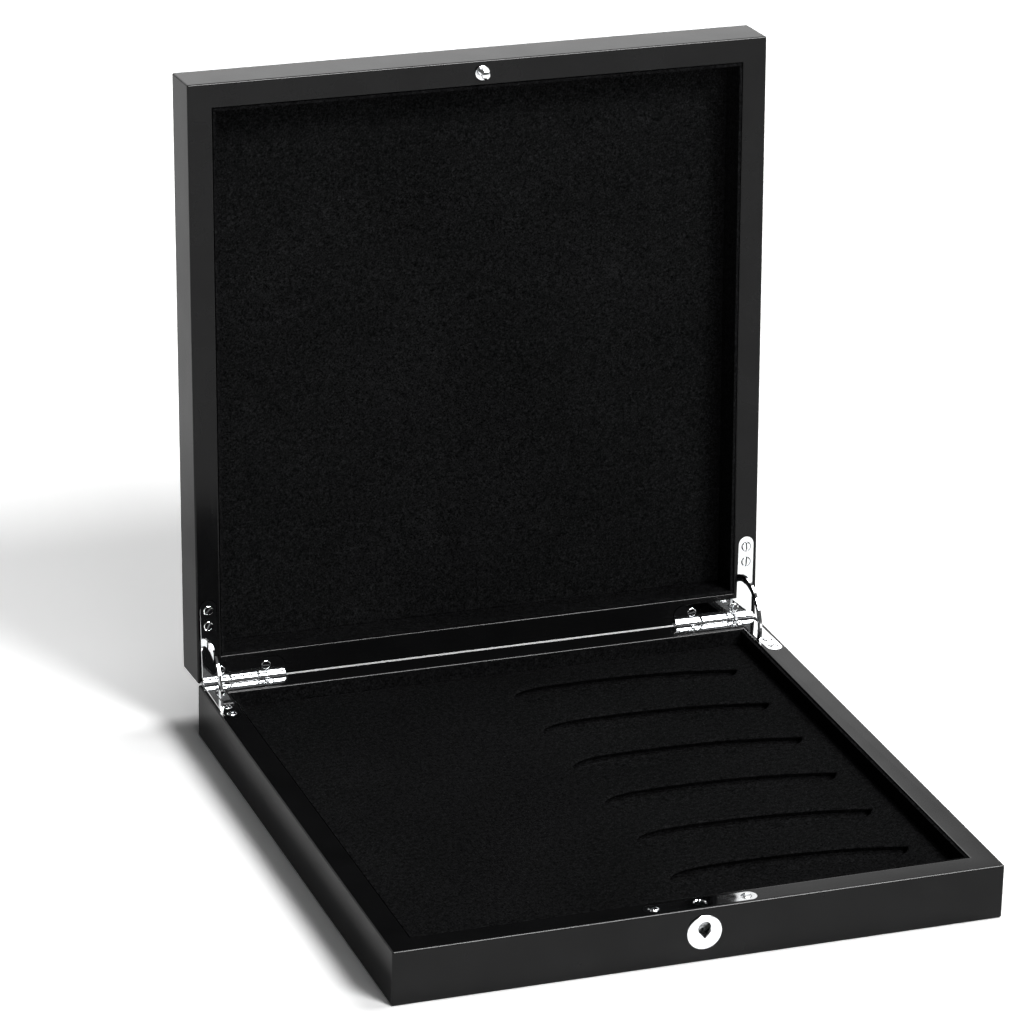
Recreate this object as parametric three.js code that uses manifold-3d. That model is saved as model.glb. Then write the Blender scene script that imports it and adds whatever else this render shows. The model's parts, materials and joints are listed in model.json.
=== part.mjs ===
// Knife display case: a shallow lacquered base, a velvet insert with blade pockets, a
// velvet-lined lid on two quadrant hinges, and a small lock in the front rail.
// Millimetres, +Z up, +Y to the rear. The origin is the centre of the base's underside.
// The lid is drawn open, as it stands on its stays.
import * as THREE from 'three';
import { mergeVertices } from 'three/addons/utils/BufferGeometryUtils.js';
import Module from 'manifold-3d';

const wasm = await Module();
wasm.setup();

// Case
const caseWidth = 330;
const caseDepth = 337;
const baseHeight = 29.8;
const lidHeight = 28.7;
const railWidth = 13.7;
const edgeChamfer = 0.8;
const openAngle = 92.9;

// Panels, liners, insert and lining; a drop is measured down from the rim
const panelThickness = 5;
const rabbetWidth = 6;
const linerThickness = 1.5;
const linerDrop = 0.4;
const insertDrop = 8;
const liningDrop = 18.5;

// Gaps between seated pieces, and around pieces that move
const seatGap = 0.3;
const mitreGap = 0.3;
const runningGap = 0.5;

// Pockets for the blades, six alike: a straight near edge, a round heel on the left and a far
// edge that curves down to the tip on the right
const pocketCount = 6;
const pocketPitch = 47.5;
const pocketLength = 132;
const pocketWidth = 20.3;
const pocketDepth = 3.2;
const pocketHeelX = 1.5;
const pocketRowsY = 2.65;
const pocketHeelRadius = 8;
const pocketHeelDrop = 11.8;
const pocketShoulderX = 28.5;
const pocketTipDrop = 10.6;
const pocketTipSlant = 12.5;
const pocketTipRadius = 1.5;
const pocketTipBulge = 0.3;

// How a pocket's far edge bends: its rise past the shoulder, its fall before the tip, and the
// pull of the shoulder and of the heel on the curve between them
const farEdgeRise = 0.9;
const farEdgeFall = pocketTipDrop / 12;
const shoulderPull = 0.63 * pocketShoulderX;
const shoulderFall = 0.3;
const heelPull = 0.6 * pocketHeelDrop;
const heelLean = 1;

// Hinges
const closedGap = 1.4;
const axisSetback = 0.7;
const barrelDiameter = 6;
const pinDiameter = 2.6;
const knuckleCount = 3;
const knuckleGap = 0.3;
const leafLength = 48;
const leafWidth = 9;
const leafThickness = 1.4;
const leafInset = 2;
const leafCornerRadius = 6;
const leafScrewInset = 6;
const leafScrewSpacing = 9;
const rearScrewInset = 11;
const rearArmGap = 1;
const leafScrewTurns = [20, 90, 160, 230];

// Stay arms
const stayRadius = 22;
const stayWidth = 4;
const stayThickness = 1.8;
const stayHeadDiameter = 4;
const stayHeadWidth = 4.6;
const staySlotWidth = 3.6;

// Screws
const screwHeadDiameter = 5.2;
const screwHeadRise = 0.5;
const screwHeadDepth = 1.2;
const screwHeadEdge = 0.15;
const screwCrownSpread = 0.6;
const screwCrownLift = 0.8;
const screwTipShare = 0.3;
const screwShankDiameter = 2.4;
const screwLength = 11;
const screwSlotWidth = 0.8;
const screwSlotDepth = 0.7;

// Lock
const faceplateLength = 61.5;
const faceplateWidth = 9;
const faceplateThickness = 1.5;
const faceplateScrewSpacing = 50;
const faceplateScrewTurns = [30, 140];
const lockCaseLength = 42;
const lockCaseThickness = 8.4;
const lockCaseHeight = 18;
const lockCaseWall = 0.9;
const keyDrop = 13.1;
const escutcheonDiameter = 18.8;
const escutcheonThickness = 1.4;
const escutcheonEdge = 0.6;
const escutcheonShoulderShare = 0.94;
const escutcheonShoulderLift = 0.8;
const escutcheonFlatShare = 0.5;
const spigotDiameter = 5.8;
const spigotLength = 2;
const keyholeDiameter = 4.4;
const keyholeSlotWidth = 1.6;
const keyholeSlotLength = 4;
const keyholeConeDiameter = 7.2;
const keyholeConeDepth = 0.9;
const boltLength = 14.7;
const boltThickness = 1.6;
const boltWidth = 5.8;
const boltTabThickness = 2;
const crankRadius = 4.5;
const crankPinDiameter = 1.8;
const crankThickness = 1.8;
const crankWidth = 2.4;
const keyTurn = 90;
const journalDiameter = 4.4;
const keySocket = 1.6;

// Striker stud
const studFlangeDiameter = 8.2;
const studFlangeThickness = 1;
const studFlangeRise = 0.5;
const studNeckDiameter = 3;
const studHeadDiameter = 4.8;
const studHeadThickness = 1.8;
const studCrownShare = 0.6;
const studReach = 7;
const studShankLength = 8;

// Facets
const fine = 24;
const coarse = 12;

const lacquer = new THREE.MeshStandardMaterial({ color: 0x1a1b1d, roughness: 0.22, metalness: 0 });
const velvet = new THREE.MeshStandardMaterial({ color: 0x0d0d0f, roughness: 1, metalness: 0 });
const chrome = new THREE.MeshStandardMaterial({ color: 0xdadcdf, roughness: 0.08, metalness: 1 });
const steel = new THREE.MeshStandardMaterial({ color: 0x8f9296, roughness: 0.35, metalness: 1 });

// The two trays share one frame: the hinge axis is its origin and the rim faces +Z.
// The base runs from the axis towards -Y and the lid towards +Y, before the lid is swung up.
const rimLevel = -closedGap / 2;
const base = { name: 'base', side: -1, height: baseHeight, fillDrop: insertDrop, group: new THREE.Group() };
const lid = { name: 'lid', side: 1, height: lidHeight, fillDrop: liningDrop, group: new THREE.Group() };

// What fills a tray, as distances from the middle of its width and from the hinge axis
const linerReachX = caseWidth / 2 - railWidth - seatGap;
const linerRearY = axisSetback + railWidth + seatGap;
const linerFrontY = axisSetback + caseDepth - railWidth - seatGap;
const fillReachX = linerReachX - linerThickness - seatGap;
const fillRearY = linerRearY + linerThickness + seatGap;
const fillFrontY = linerFrontY - linerThickness - seatGap;

const radians = THREE.MathUtils.degToRad;
const up = new THREE.Vector3(0, 0, 1);

function toSolid(geometry) {
  const bare = geometry.clone();
  bare.deleteAttribute('normal');
  bare.deleteAttribute('uv');
  const merged = mergeVertices(bare, 1e-4);
  return new wasm.Manifold(new wasm.Mesh({
    numProp: 3,
    vertProperties: new Float32Array(merged.getAttribute('position').array),
    triVerts: new Uint32Array(merged.index.array),
  }));
}

function toGeometry(solid) {
  const mesh = solid.getMesh();
  const geometry = new THREE.BufferGeometry();
  geometry.setAttribute('position', new THREE.BufferAttribute(mesh.vertProperties, 3));
  geometry.setIndex(new THREE.BufferAttribute(mesh.triVerts, 1));
  const faceted = geometry.toNonIndexed();
  faceted.computeVertexNormals();
  return faceted;
}

function join(...geometries) {
  return toGeometry(geometries.map(toSolid).reduce((whole, next) => whole.add(next)));
}

function cut(geometry, cutters) {
  return toGeometry(cutters.map(toSolid).reduce((whole, next) => whole.subtract(next), toSolid(geometry)));
}

// A block between two opposite corners, given in any order
function block(x0, x1, y0, y1, z0, z1) {
  const geometry = new THREE.BoxGeometry(Math.abs(x1 - x0), Math.abs(y1 - y0), Math.abs(z1 - z0));
  return geometry.translate((x0 + x1) / 2, (y0 + y1) / 2, (z0 + z1) / 2);
}

function rodAlongX(diameter, x0, x1, facets = fine) {
  const geometry = new THREE.CylinderGeometry(diameter / 2, diameter / 2, Math.abs(x1 - x0), facets);
  return geometry.rotateZ(Math.PI / 2).translate((x0 + x1) / 2, 0, 0);
}

function rodAlongY(diameter, y0, y1, facets = coarse) {
  const geometry = new THREE.CylinderGeometry(diameter / 2, diameter / 2, Math.abs(y1 - y0), facets);
  return geometry.translate(0, (y0 + y1) / 2, 0);
}

function rodAlongZ(diameter, z0, z1, facets = coarse) {
  return rodAlongY(diameter, z0, z1, facets).rotateX(Math.PI / 2);
}

function slab(outline, z0, z1, curveSegments = 8) {
  const options = { depth: z1 - z0, bevelEnabled: false, curveSegments };
  return new THREE.ExtrudeGeometry(outline, options).translate(0, 0, z0);
}

// A turned piece on the Z axis; each profile point is a radius and a height
function turned(profile, facets = fine) {
  const points = profile.map(([radius, height]) => new THREE.Vector2(radius, height));
  return new THREE.LatheGeometry(points, facets).rotateX(Math.PI / 2);
}

// Mirrors a geometry across X or Y and keeps its faces pointing out
function mirrored(geometry, signX, signY) {
  const copy = geometry.index ? geometry.toNonIndexed() : geometry.clone();
  copy.scale(signX, signY, 1);
  if (signX * signY > 0) return copy;
  const place = copy.getAttribute('position');
  const swapped = place.clone();
  for (let corner = 0; corner < place.count; corner += 3) {
    swapped.setXYZ(corner + 1, place.getX(corner + 2), place.getY(corner + 2), place.getZ(corner + 2));
    swapped.setXYZ(corner + 2, place.getX(corner + 1), place.getY(corner + 1), place.getZ(corner + 1));
  }
  copy.setAttribute('position', swapped);
  copy.computeVertexNormals();
  return copy;
}

function addPiece(group, name, geometry, material) {
  const mesh = new THREE.Mesh(geometry, material);
  mesh.name = name;
  group.add(mesh);
  return mesh;
}

// Screw: an oval head over a countersink, with a plain shank. A margin makes its hole.
function screwBody(margin = 0) {
  const head = screwHeadDiameter / 2 + margin;
  const shank = screwShankDiameter / 2 + margin;
  const top = margin > 0 ? closedGap : screwHeadRise;
  const brim = margin > 0 ? closedGap : 0;
  return turned([
    [0, -screwLength - margin],
    [shank * screwTipShare, -screwLength - margin],
    [shank, -screwLength + shank - margin],
    [shank, -screwHeadDepth - margin],
    [head, -screwHeadEdge - margin],
    [head, brim],
    [head * screwCrownSpread, brim + screwCrownLift * (top - brim)],
    [0, top],
  ], coarse);
}

function screwGeometry() {
  const reach = screwHeadDiameter;
  const slotFloor = screwHeadRise - screwSlotDepth;
  const slot = block(-reach, reach, -screwSlotWidth / 2, screwSlotWidth / 2, slotFloor, reach);
  return cut(screwBody(), [slot]);
}

const screwShape = screwGeometry();
const screwHoleShape = screwBody(seatGap);

function addScrew(group, name, x, y, turn) {
  const screw = addPiece(group, name, screwShape, chrome);
  screw.position.set(x, y, rimLevel);
  screw.rotation.z = radians(turn);
}

// Hinge leaf: an L with its long edges square to the case, drawn for the right-hand side of
// the lid. Its outer edge is outerX and y is the distance from the hinge axis.
const outerX = caseWidth / 2 - leafInset;
const sideArmX = outerX - leafWidth / 2;
const rearArmY = leafWidth / 2 + axisSetback + rearArmGap;
const endScrewY = leafLength - leafScrewInset;

// Two screws near the end of the side arm, and one near each end of the rear arm
const hingeScrewPlaces = [
  [sideArmX, endScrewY - leafScrewSpacing],
  [sideArmX, endScrewY],
  [outerX - rearScrewInset, rearArmY],
  [outerX - leafLength + rearScrewInset, rearArmY],
];

function leafOutline(margin = 0) {
  const right = outerX + margin;
  const left = outerX - leafLength - margin;
  const armLeft = outerX - leafWidth - margin;
  const armRadius = leafWidth / 2 + margin;
  const rearArmTop = rearArmY + leafWidth / 2 + margin;
  const corner = leafCornerRadius + margin;
  const outline = new THREE.Shape();
  outline.moveTo(right, 0);
  outline.lineTo(right, leafLength - leafWidth / 2);
  outline.absarc(sideArmX, leafLength - leafWidth / 2, armRadius, 0, Math.PI);
  outline.lineTo(armLeft, rearArmTop);
  outline.lineTo(left + corner, rearArmTop);
  outline.absarc(left + corner, rearArmTop - corner, corner, Math.PI / 2, Math.PI);
  outline.lineTo(left, 0);
  return outline;
}

const knuckleLength = leafLength / knuckleCount;

// The knuckles at even places belong to the lid's leaf and the odd ones to the base's
function knuckleSpans(tray) {
  const first = tray === lid ? 0 : 1;
  const spans = [];
  for (let place = first; place < knuckleCount; place += 2) {
    const right = outerX - place * knuckleLength;
    spans.push([right - knuckleLength, right]);
  }
  return spans;
}

function staySlot() {
  const halfWidth = staySlotWidth / 2;
  const halfLength = stayWidth / 2 + runningGap + halfWidth;
  const outline = new THREE.Shape();
  outline.moveTo(sideArmX + halfWidth, stayRadius - halfLength + halfWidth);
  outline.lineTo(sideArmX + halfWidth, stayRadius + halfLength - halfWidth);
  outline.absarc(sideArmX, stayRadius + halfLength - halfWidth, halfWidth, 0, Math.PI);
  outline.lineTo(sideArmX - halfWidth, stayRadius - halfLength + halfWidth);
  outline.absarc(sideArmX, stayRadius - halfLength + halfWidth, halfWidth, Math.PI, 2 * Math.PI);
  return slab(outline, rimLevel - 2 * leafThickness, rimLevel + leafThickness, 5);
}

function leafGeometry(tray) {
  const other = tray === lid ? base : lid;
  const plate = slab(leafOutline(), rimLevel - leafThickness, rimLevel, 8);
  const knuckles = knuckleSpans(tray).map(([left, right]) =>
    rodAlongX(barrelDiameter, left + knuckleGap / 2, right - knuckleGap / 2));
  const clearances = knuckleSpans(other).map(([left, right]) =>
    rodAlongX(barrelDiameter + 2 * seatGap, left - knuckleGap / 2, right + knuckleGap / 2));
  const bore = rodAlongX(pinDiameter + 2 * seatGap, outerX - leafLength - 1, outerX + 1, coarse);
  const holes = hingeScrewPlaces.map(([x, y]) => screwHoleShape.clone().translate(x, y, rimLevel));
  return cut(join(cut(plate, clearances), ...knuckles), [bore, staySlot(), ...holes]);
}

// Stay: a flat arc about the hinge axis with a round head at each end, which stops under the
// leaf. Angles are measured up from the base's rim, and the arc lies in the side rails' pockets.
const stayHeadDip = closedGap / 2 + leafThickness + seatGap + stayHeadDiameter / 2;
const stayHeadAngle = Math.asin(stayHeadDip / stayRadius);
const stayHalfSpan = radians(openAngle) / 2 + stayHeadAngle;

function stayGeometry() {
  const from = -stayHeadAngle;
  const to = radians(openAngle) + stayHeadAngle;
  const outline = new THREE.Shape();
  outline.absarc(0, 0, stayRadius + stayWidth / 2, from, to, false);
  outline.absarc(0, 0, stayRadius - stayWidth / 2, to, from, true);
  const bar = slab(outline, -stayThickness / 2, stayThickness / 2, 20);
  const radius = stayHeadDiameter / 2;
  const heads = [from, to].map((angle) => {
    const head = new THREE.CylinderGeometry(radius, radius, stayHeadWidth, coarse);
    head.rotateX(Math.PI / 2);
    return head.translate(stayRadius * Math.cos(angle), stayRadius * Math.sin(angle), 0);
  });
  const forward = new THREE.Vector3(0, -1, 0);
  const across = new THREE.Vector3().crossVectors(forward, up);
  const turn = new THREE.Matrix4().makeBasis(forward, up, across);
  return join(bar, ...heads).applyMatrix4(turn).translate(sideArmX, 0, 0);
}

// The mortise in a side rail that takes half of the stay when the lid is shut
function stayPocket() {
  const halfWidth = stayHeadWidth / 2 + runningGap;
  const near = stayRadius * Math.cos(stayHalfSpan) - stayHeadDiameter / 2 - runningGap;
  const far = stayRadius + stayWidth / 2 + 2 * runningGap;
  const floor = -stayRadius * Math.sin(stayHalfSpan) - stayHeadDiameter / 2 - runningGap;
  return block(sideArmX - halfWidth, sideArmX + halfWidth, near, far, floor, 0);
}

// Everything let into the rails for one right-hand hinge of the lid
function hingeMortises() {
  const recess = slab(leafOutline(seatGap), rimLevel - leafThickness - seatGap, 1, 8);
  const barrel = rodAlongX(barrelDiameter + 2 * seatGap, outerX - leafLength - seatGap, outerX + seatGap);
  const holes = hingeScrewPlaces.map(([x, y]) => screwHoleShape.clone().translate(x, y, rimLevel));
  return [recess, barrel, stayPocket(), ...holes];
}

// Rails: one profile, mitred at both ends. Its x runs inwards from the outer face, its y up to
// the rim, and it is extruded along the rail.
function railGeometry(length, height) {
  const c = edgeChamfer;
  const shelf = railWidth - rabbetWidth;
  const outline = new THREE.Shape([
    [0, c - height], [c, -height], [shelf, -height],
    [shelf, panelThickness - height], [railWidth, panelThickness - height],
    [railWidth, -c], [railWidth - c, 0], [c, 0], [0, -c],
  ].map(([inward, level]) => new THREE.Vector2(inward, level)));
  const geometry = slab(outline, -length / 2, length / 2);
  const place = geometry.getAttribute('position');
  for (let corner = 0; corner < place.count; corner += 1) {
    const reach = length / 2 - place.getX(corner) - mitreGap / Math.SQRT2;
    place.setZ(corner, Math.sign(place.getZ(corner)) * reach);
  }
  return geometry;
}

function placeRail(geometry, x, y, inwardX, inwardY) {
  const inward = new THREE.Vector3(inwardX, inwardY, 0);
  const along = new THREE.Vector3().crossVectors(inward, up);
  const turn = new THREE.Matrix4().makeBasis(inward, up, along).setPosition(x, y, rimLevel);
  return geometry.applyMatrix4(turn);
}

function addRails(tray, frontCutters) {
  const { side, height, name } = tray;
  const rearY = side * axisSetback;
  const frontY = side * (axisSetback + caseDepth);
  const middleY = (rearY + frontY) / 2;
  const right = hingeMortises().map((shape) => mirrored(shape, 1, side));
  const left = hingeMortises().map((shape) => mirrored(shape, -1, side));
  const rails = [
    ['front', placeRail(railGeometry(caseWidth, height), 0, frontY, 0, -side), frontCutters],
    ['rear', placeRail(railGeometry(caseWidth, height), 0, rearY, 0, side), [...left, ...right]],
    ['left', placeRail(railGeometry(caseDepth, height), -caseWidth / 2, middleY, 1, 0), left],
    ['right', placeRail(railGeometry(caseDepth, height), caseWidth / 2, middleY, -1, 0), right],
  ];
  for (const [place, geometry, cutters] of rails) {
    addPiece(tray.group, `${name}_${place}_rail`, cut(geometry, cutters), lacquer);
  }
}

function addPanel(tray, pieceName) {
  const reachX = caseWidth / 2 - railWidth + rabbetWidth - seatGap;
  const near = tray.side * (axisSetback + railWidth - rabbetWidth + seatGap);
  const far = tray.side * (axisSetback + caseDepth - railWidth + rabbetWidth - seatGap);
  const bottom = rimLevel - tray.height;
  const panel = block(-reachX, reachX, near, far, bottom, bottom + panelThickness - seatGap);
  addPiece(tray.group, pieceName, panel, lacquer);
}

function addLiners(tray) {
  const { side, name, group } = tray;
  const floor = rimLevel - tray.height + panelThickness;
  const top = rimLevel - linerDrop;
  const boards = {
    front: [-linerReachX, linerReachX, linerFrontY - linerThickness, linerFrontY],
    rear: [-linerReachX, linerReachX, linerRearY, linerRearY + linerThickness],
    left: [-linerReachX, linerThickness - linerReachX, fillRearY, fillFrontY],
    right: [linerReachX - linerThickness, linerReachX, fillRearY, fillFrontY],
  };
  for (const [place, [x0, x1, near, far]] of Object.entries(boards)) {
    const board = block(x0, x1, side * near, side * far, floor, top);
    addPiece(group, `${name}_${place}_liner`, board, velvet);
  }
}

function fillBlock(tray) {
  const { side, height, fillDrop } = tray;
  const floor = rimLevel - height + panelThickness;
  return block(-fillReachX, fillReachX, side * fillRearY, side * fillFrontY, floor, rimLevel - fillDrop);
}

// The outline of one pocket, from its heel at x, with y as the top of its far edge
function pocketOutline(x, y) {
  const near = y - pocketWidth;
  const tip = x + pocketLength;
  const tipY = y - pocketTipDrop;
  const heelTop = y - pocketHeelDrop;
  const shoulder = x + pocketShoulderX;
  const slope = (tip - shoulder) / 3;
  const outline = new THREE.Shape();
  outline.moveTo(x + pocketHeelRadius, near);
  outline.lineTo(tip - pocketTipSlant, near);
  outline.quadraticCurveTo(tip - pocketTipSlant / 3, near, tip, tipY - pocketTipRadius);
  outline.quadraticCurveTo(tip + pocketTipBulge, tipY, tip - pocketTipRadius, tipY + pocketTipRadius / 2);
  outline.bezierCurveTo(tip - slope, y - farEdgeFall, shoulder + slope, y + farEdgeRise, shoulder, y);
  outline.bezierCurveTo(
    shoulder - shoulderPull, y - shoulderFall, x + heelLean, heelTop + heelPull, x, heelTop);
  outline.lineTo(x, near + pocketHeelRadius);
  outline.absarc(x + pocketHeelRadius, near + pocketHeelRadius, pocketHeelRadius, Math.PI, 1.5 * Math.PI);
  return outline;
}

function addInsert() {
  const top = rimLevel - insertDrop;
  const pockets = [];
  for (let row = 0; row < pocketCount; row += 1) {
    const middle = pocketRowsY + (row - (pocketCount - 1) / 2) * pocketPitch;
    const far = middle + pocketWidth / 2 - base.group.position.y;
    pockets.push(slab(pocketOutline(pocketHeelX, far), top - pocketDepth, top + 1));
  }
  addPiece(base.group, 'knife_insert', cut(fillBlock(base), pockets), velvet);
}

function addHinges(tray) {
  const { side, name, group } = tray;
  for (const [hand, sign] of [['left', -1], ['right', 1]]) {
    const leaf = mirrored(leafGeometry(tray), sign, side);
    addPiece(group, `${hand}_${name}_leaf`, leaf, chrome);
    hingeScrewPlaces.forEach(([x, y], index) => {
      const screwName = `${hand}_${name}_leaf_screw_${index + 1}`;
      addScrew(group, screwName, sign * x, side * y, leafScrewTurns[index]);
    });
  }
}

function addPinsAndStays() {
  const stay = stayGeometry();
  const pin = rodAlongX(pinDiameter, outerX - leafLength, outerX, coarse);
  for (const [hand, sign] of [['left', -1], ['right', 1]]) {
    addPiece(base.group, `${hand}_hinge_pin`, mirrored(pin, sign, 1), steel);
    addPiece(base.group, `${hand}_stay_arm`, mirrored(stay, sign, 1), chrome);
  }
}

// Lock: the striker stud comes down through the faceplate, and the forked bolt slides under
// its head as the key turns the tumbler. Heights are measured from the base's rim.
const lockY = -(axisSetback + caseDepth - railWidth / 2);
const frontFaceY = -(axisSetback + caseDepth);
const faceplateHoleDiameter = studHeadDiameter + 2 * runningGap;
const caseTop = -faceplateThickness - seatGap;
const boltTop = caseTop - seatGap / 2;
const boltBottom = boltTop - boltThickness;
const crankRest = radians(keyTurn / 2);
const crankPinX = -crankRadius * Math.sin(crankRest);
const crankPinDrop = keyDrop - crankRadius * Math.cos(crankRest);
const boltTipX = -studHeadDiameter / 2 - 2 * runningGap;
const boltStroke = 2 * crankRadius * Math.sin(crankRest);

function faceplateOutline(margin = 0) {
  const radius = faceplateWidth / 2 + margin;
  const straight = (faceplateLength - faceplateWidth) / 2;
  const outline = new THREE.Shape();
  outline.moveTo(straight, -radius);
  outline.absarc(straight, 0, radius, -Math.PI / 2, Math.PI / 2);
  outline.absarc(-straight, 0, radius, Math.PI / 2, 1.5 * Math.PI);
  return outline;
}

const faceplateScrewPlaces = [-faceplateScrewSpacing / 2, faceplateScrewSpacing / 2];

function lockMortises() {
  const recess = slab(faceplateOutline(seatGap), -faceplateThickness - seatGap, 1);
  const halfLength = lockCaseLength / 2 + seatGap;
  const halfThickness = lockCaseThickness / 2 + seatGap;
  const floor = caseTop - lockCaseHeight - seatGap;
  const pocket = block(-halfLength, halfLength, -halfThickness, halfThickness, floor, 0);
  const keyway = rodAlongY(spigotDiameter + 2 * seatGap, -railWidth, 0).translate(0, 0, -keyDrop);
  const holes = faceplateScrewPlaces.map((x) => screwHoleShape.clone().translate(x, 0, 0));
  return [recess, pocket, keyway, ...holes].map((shape) => shape.translate(0, lockY, rimLevel));
}

function faceplateGeometry() {
  const plate = slab(faceplateOutline(), -faceplateThickness, 0);
  const bore = turned([
    [0, -2 * faceplateThickness],
    [faceplateHoleDiameter / 2, -2 * faceplateThickness],
    [faceplateHoleDiameter / 2, -seatGap],
    [faceplateHoleDiameter / 2 + seatGap + 1, 1],
    [0, 1],
  ], fine);
  const holes = faceplateScrewPlaces.map((x) => screwHoleShape.clone().translate(x, 0, 0));
  return cut(plate, [bore, ...holes]);
}

function lockCaseGeometry() {
  const halfLength = lockCaseLength / 2;
  const halfThickness = lockCaseThickness / 2;
  const wall = lockCaseWall;
  const bottom = caseTop - lockCaseHeight;
  const shell = block(-halfLength, halfLength, -halfThickness, halfThickness, bottom, caseTop);
  const inside = block(
    wall - halfLength, halfLength - wall, wall - halfThickness, halfThickness - wall, bottom + wall, 0);
  const journalBore = rodAlongY(journalDiameter + 2 * seatGap, -lockCaseThickness, lockCaseThickness);
  return cut(shell, [inside, journalBore.translate(0, 0, -keyDrop)]);
}

function boltGeometry() {
  const tail = boltTipX - boltLength;
  const forkRoot = boltTipX - boltStroke + studNeckDiameter / 2 - runningGap;
  const crankDip = crankRadius * (1 - Math.cos(crankRest));
  const notchTop = crankPinDrop - crankDip - crankPinDiameter / 2 - runningGap;
  const tabBottom = keyDrop - journalDiameter / 2 - runningGap;
  const barTop = notchTop - boltThickness / 2;
  const notchHalf = crankPinDiameter / 2 + 0.8 * runningGap;
  const plate = block(tail, boltTipX, -boltWidth / 2, boltWidth / 2, boltBottom, boltTop);
  const web = block(tail, forkRoot - 1, 0, boltTabThickness, -tabBottom, boltBottom + boltThickness / 2);
  const bar = block(forkRoot - 2, crankPinX + 3 * notchHalf, 0, boltTabThickness, -tabBottom, -barTop);
  const fork = block(
    forkRoot, boltTipX + 1, -studNeckDiameter / 2 - seatGap, studNeckDiameter / 2 + seatGap, -keyDrop, 0);
  const notch = block(
    crankPinX - notchHalf, crankPinX + notchHalf, -1, boltTabThickness + 1, -keyDrop, -notchTop);
  return cut(join(cut(plate, [fork]), web, bar), [notch]);
}

function tumblerGeometry() {
  const journal = rodAlongY(journalDiameter, -lockCaseThickness / 2, lockCaseThickness / 2);
  const crank = block(
    -crankWidth / 2, crankWidth / 2, -seatGap - crankThickness, -seatGap, 0, crankRadius + crankWidth / 2);
  const pin = rodAlongY(crankPinDiameter, -seatGap - crankThickness / 2, boltTabThickness - seatGap);
  const socket = block(
    -keySocket / 2, keySocket / 2, -lockCaseThickness, -lockCaseWall, -keySocket / 2, keySocket / 2);
  const whole = cut(join(journal, crank, pin.translate(0, 0, crankRadius)), [socket]);
  return whole.rotateY(-crankRest);
}

function escutcheonGeometry() {
  const radius = escutcheonDiameter / 2;
  const disc = turned([
    [0, 0], [radius, 0], [radius, escutcheonEdge],
    [escutcheonShoulderShare * radius, escutcheonShoulderLift * escutcheonThickness],
    [escutcheonFlatShare * radius, escutcheonThickness], [0, escutcheonThickness],
  ]);
  const spigot = turned([
    [0, -spigotLength], [spigotDiameter / 2, -spigotLength],
    [spigotDiameter / 2, escutcheonEdge / 2], [0, escutcheonEdge / 2],
  ], coarse);
  const hole = turned([
    [0, -2 * spigotLength],
    [keyholeDiameter / 2, -2 * spigotLength],
    [keyholeDiameter / 2, escutcheonThickness - keyholeConeDepth],
    [keyholeConeDiameter / 2, escutcheonThickness],
    [keyholeConeDiameter / 2, 2 * escutcheonThickness],
    [0, 2 * escutcheonThickness],
  ], coarse);
  const slot = block(
    -keyholeSlotWidth / 2, keyholeSlotWidth / 2, -keyholeSlotLength, 0, 0, 2 * escutcheonThickness);
  return cut(join(disc, spigot), [hole, slot]).rotateX(Math.PI / 2);
}

function strikerGeometry() {
  const neck = studNeckDiameter / 2;
  const head = studHeadDiameter / 2;
  const flange = studFlangeDiameter / 2;
  const shoulder = studReach - studHeadThickness;
  return turned([
    [0, -studShankLength], [neck, -studShankLength],
    [neck, studFlangeRise - studFlangeThickness], [flange, studFlangeRise - studFlangeThickness],
    [flange, studFlangeRise / 2], [flange - studFlangeRise / 2, studFlangeRise],
    [neck, studFlangeRise], [neck, shoulder], [head, shoulder],
    [head, studReach - studHeadThickness / 2], [studCrownShare * head, studReach], [0, studReach],
  ], fine);
}

function strikerMortises() {
  const bore = rodAlongZ(studNeckDiameter + 2 * seatGap, -studShankLength - seatGap, 1);
  const seat = turned([
    [0, studFlangeRise - studFlangeThickness - seatGap],
    [studFlangeDiameter / 2 + seatGap, studFlangeRise - studFlangeThickness - seatGap],
    [studFlangeDiameter / 2 + seatGap, 1],
    [0, 1],
  ]);
  return [bore, seat].map((shape) => shape.translate(0, -lockY, rimLevel));
}

function addLock() {
  const { group } = base;
  const keyLevel = rimLevel - keyDrop;
  addPiece(group, 'lock_faceplate', faceplateGeometry(), chrome).position.set(0, lockY, rimLevel);
  addPiece(group, 'lock_case', lockCaseGeometry(), steel).position.set(0, lockY, rimLevel);
  addPiece(group, 'lock_bolt', boltGeometry(), steel).position.set(0, lockY, rimLevel);
  addPiece(group, 'lock_tumbler', tumblerGeometry(), steel).position.set(0, lockY, keyLevel);
  addPiece(group, 'escutcheon', escutcheonGeometry(), chrome).position.set(0, frontFaceY, keyLevel);
  faceplateScrewPlaces.forEach((x, index) => {
    addScrew(group, `faceplate_screw_${index + 1}`, x, lockY, faceplateScrewTurns[index]);
  });
  addPiece(lid.group, 'striker_stud', strikerGeometry(), chrome).position.set(0, -lockY, rimLevel);
}

base.group.position.set(0, caseDepth / 2 + axisSetback, baseHeight + closedGap / 2);
lid.group.position.copy(base.group.position);
lid.group.rotation.x = Math.PI - radians(openAngle);

addRails(base, lockMortises());
addRails(lid, strikerMortises());
addPanel(base, 'base_bottom_panel');
addPanel(lid, 'lid_top_panel');
addLiners(base);
addLiners(lid);
addInsert();
addPiece(lid.group, 'lid_lining_panel', fillBlock(lid), velvet);
addHinges(base);
addHinges(lid);
addPinsAndStays();
addLock();

const group = new THREE.Group();
group.add(base.group, lid.group);

export default group;
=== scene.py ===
"""Knife display case: a lacquered case with a velvet insert, open on its stays."""

import json
import math

import bmesh
import bpy
from bpy.props import FloatProperty, FloatVectorProperty, IntProperty, PointerProperty
from bpy.types import Operator, Panel, PropertyGroup
from mathutils import Matrix, Vector


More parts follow.
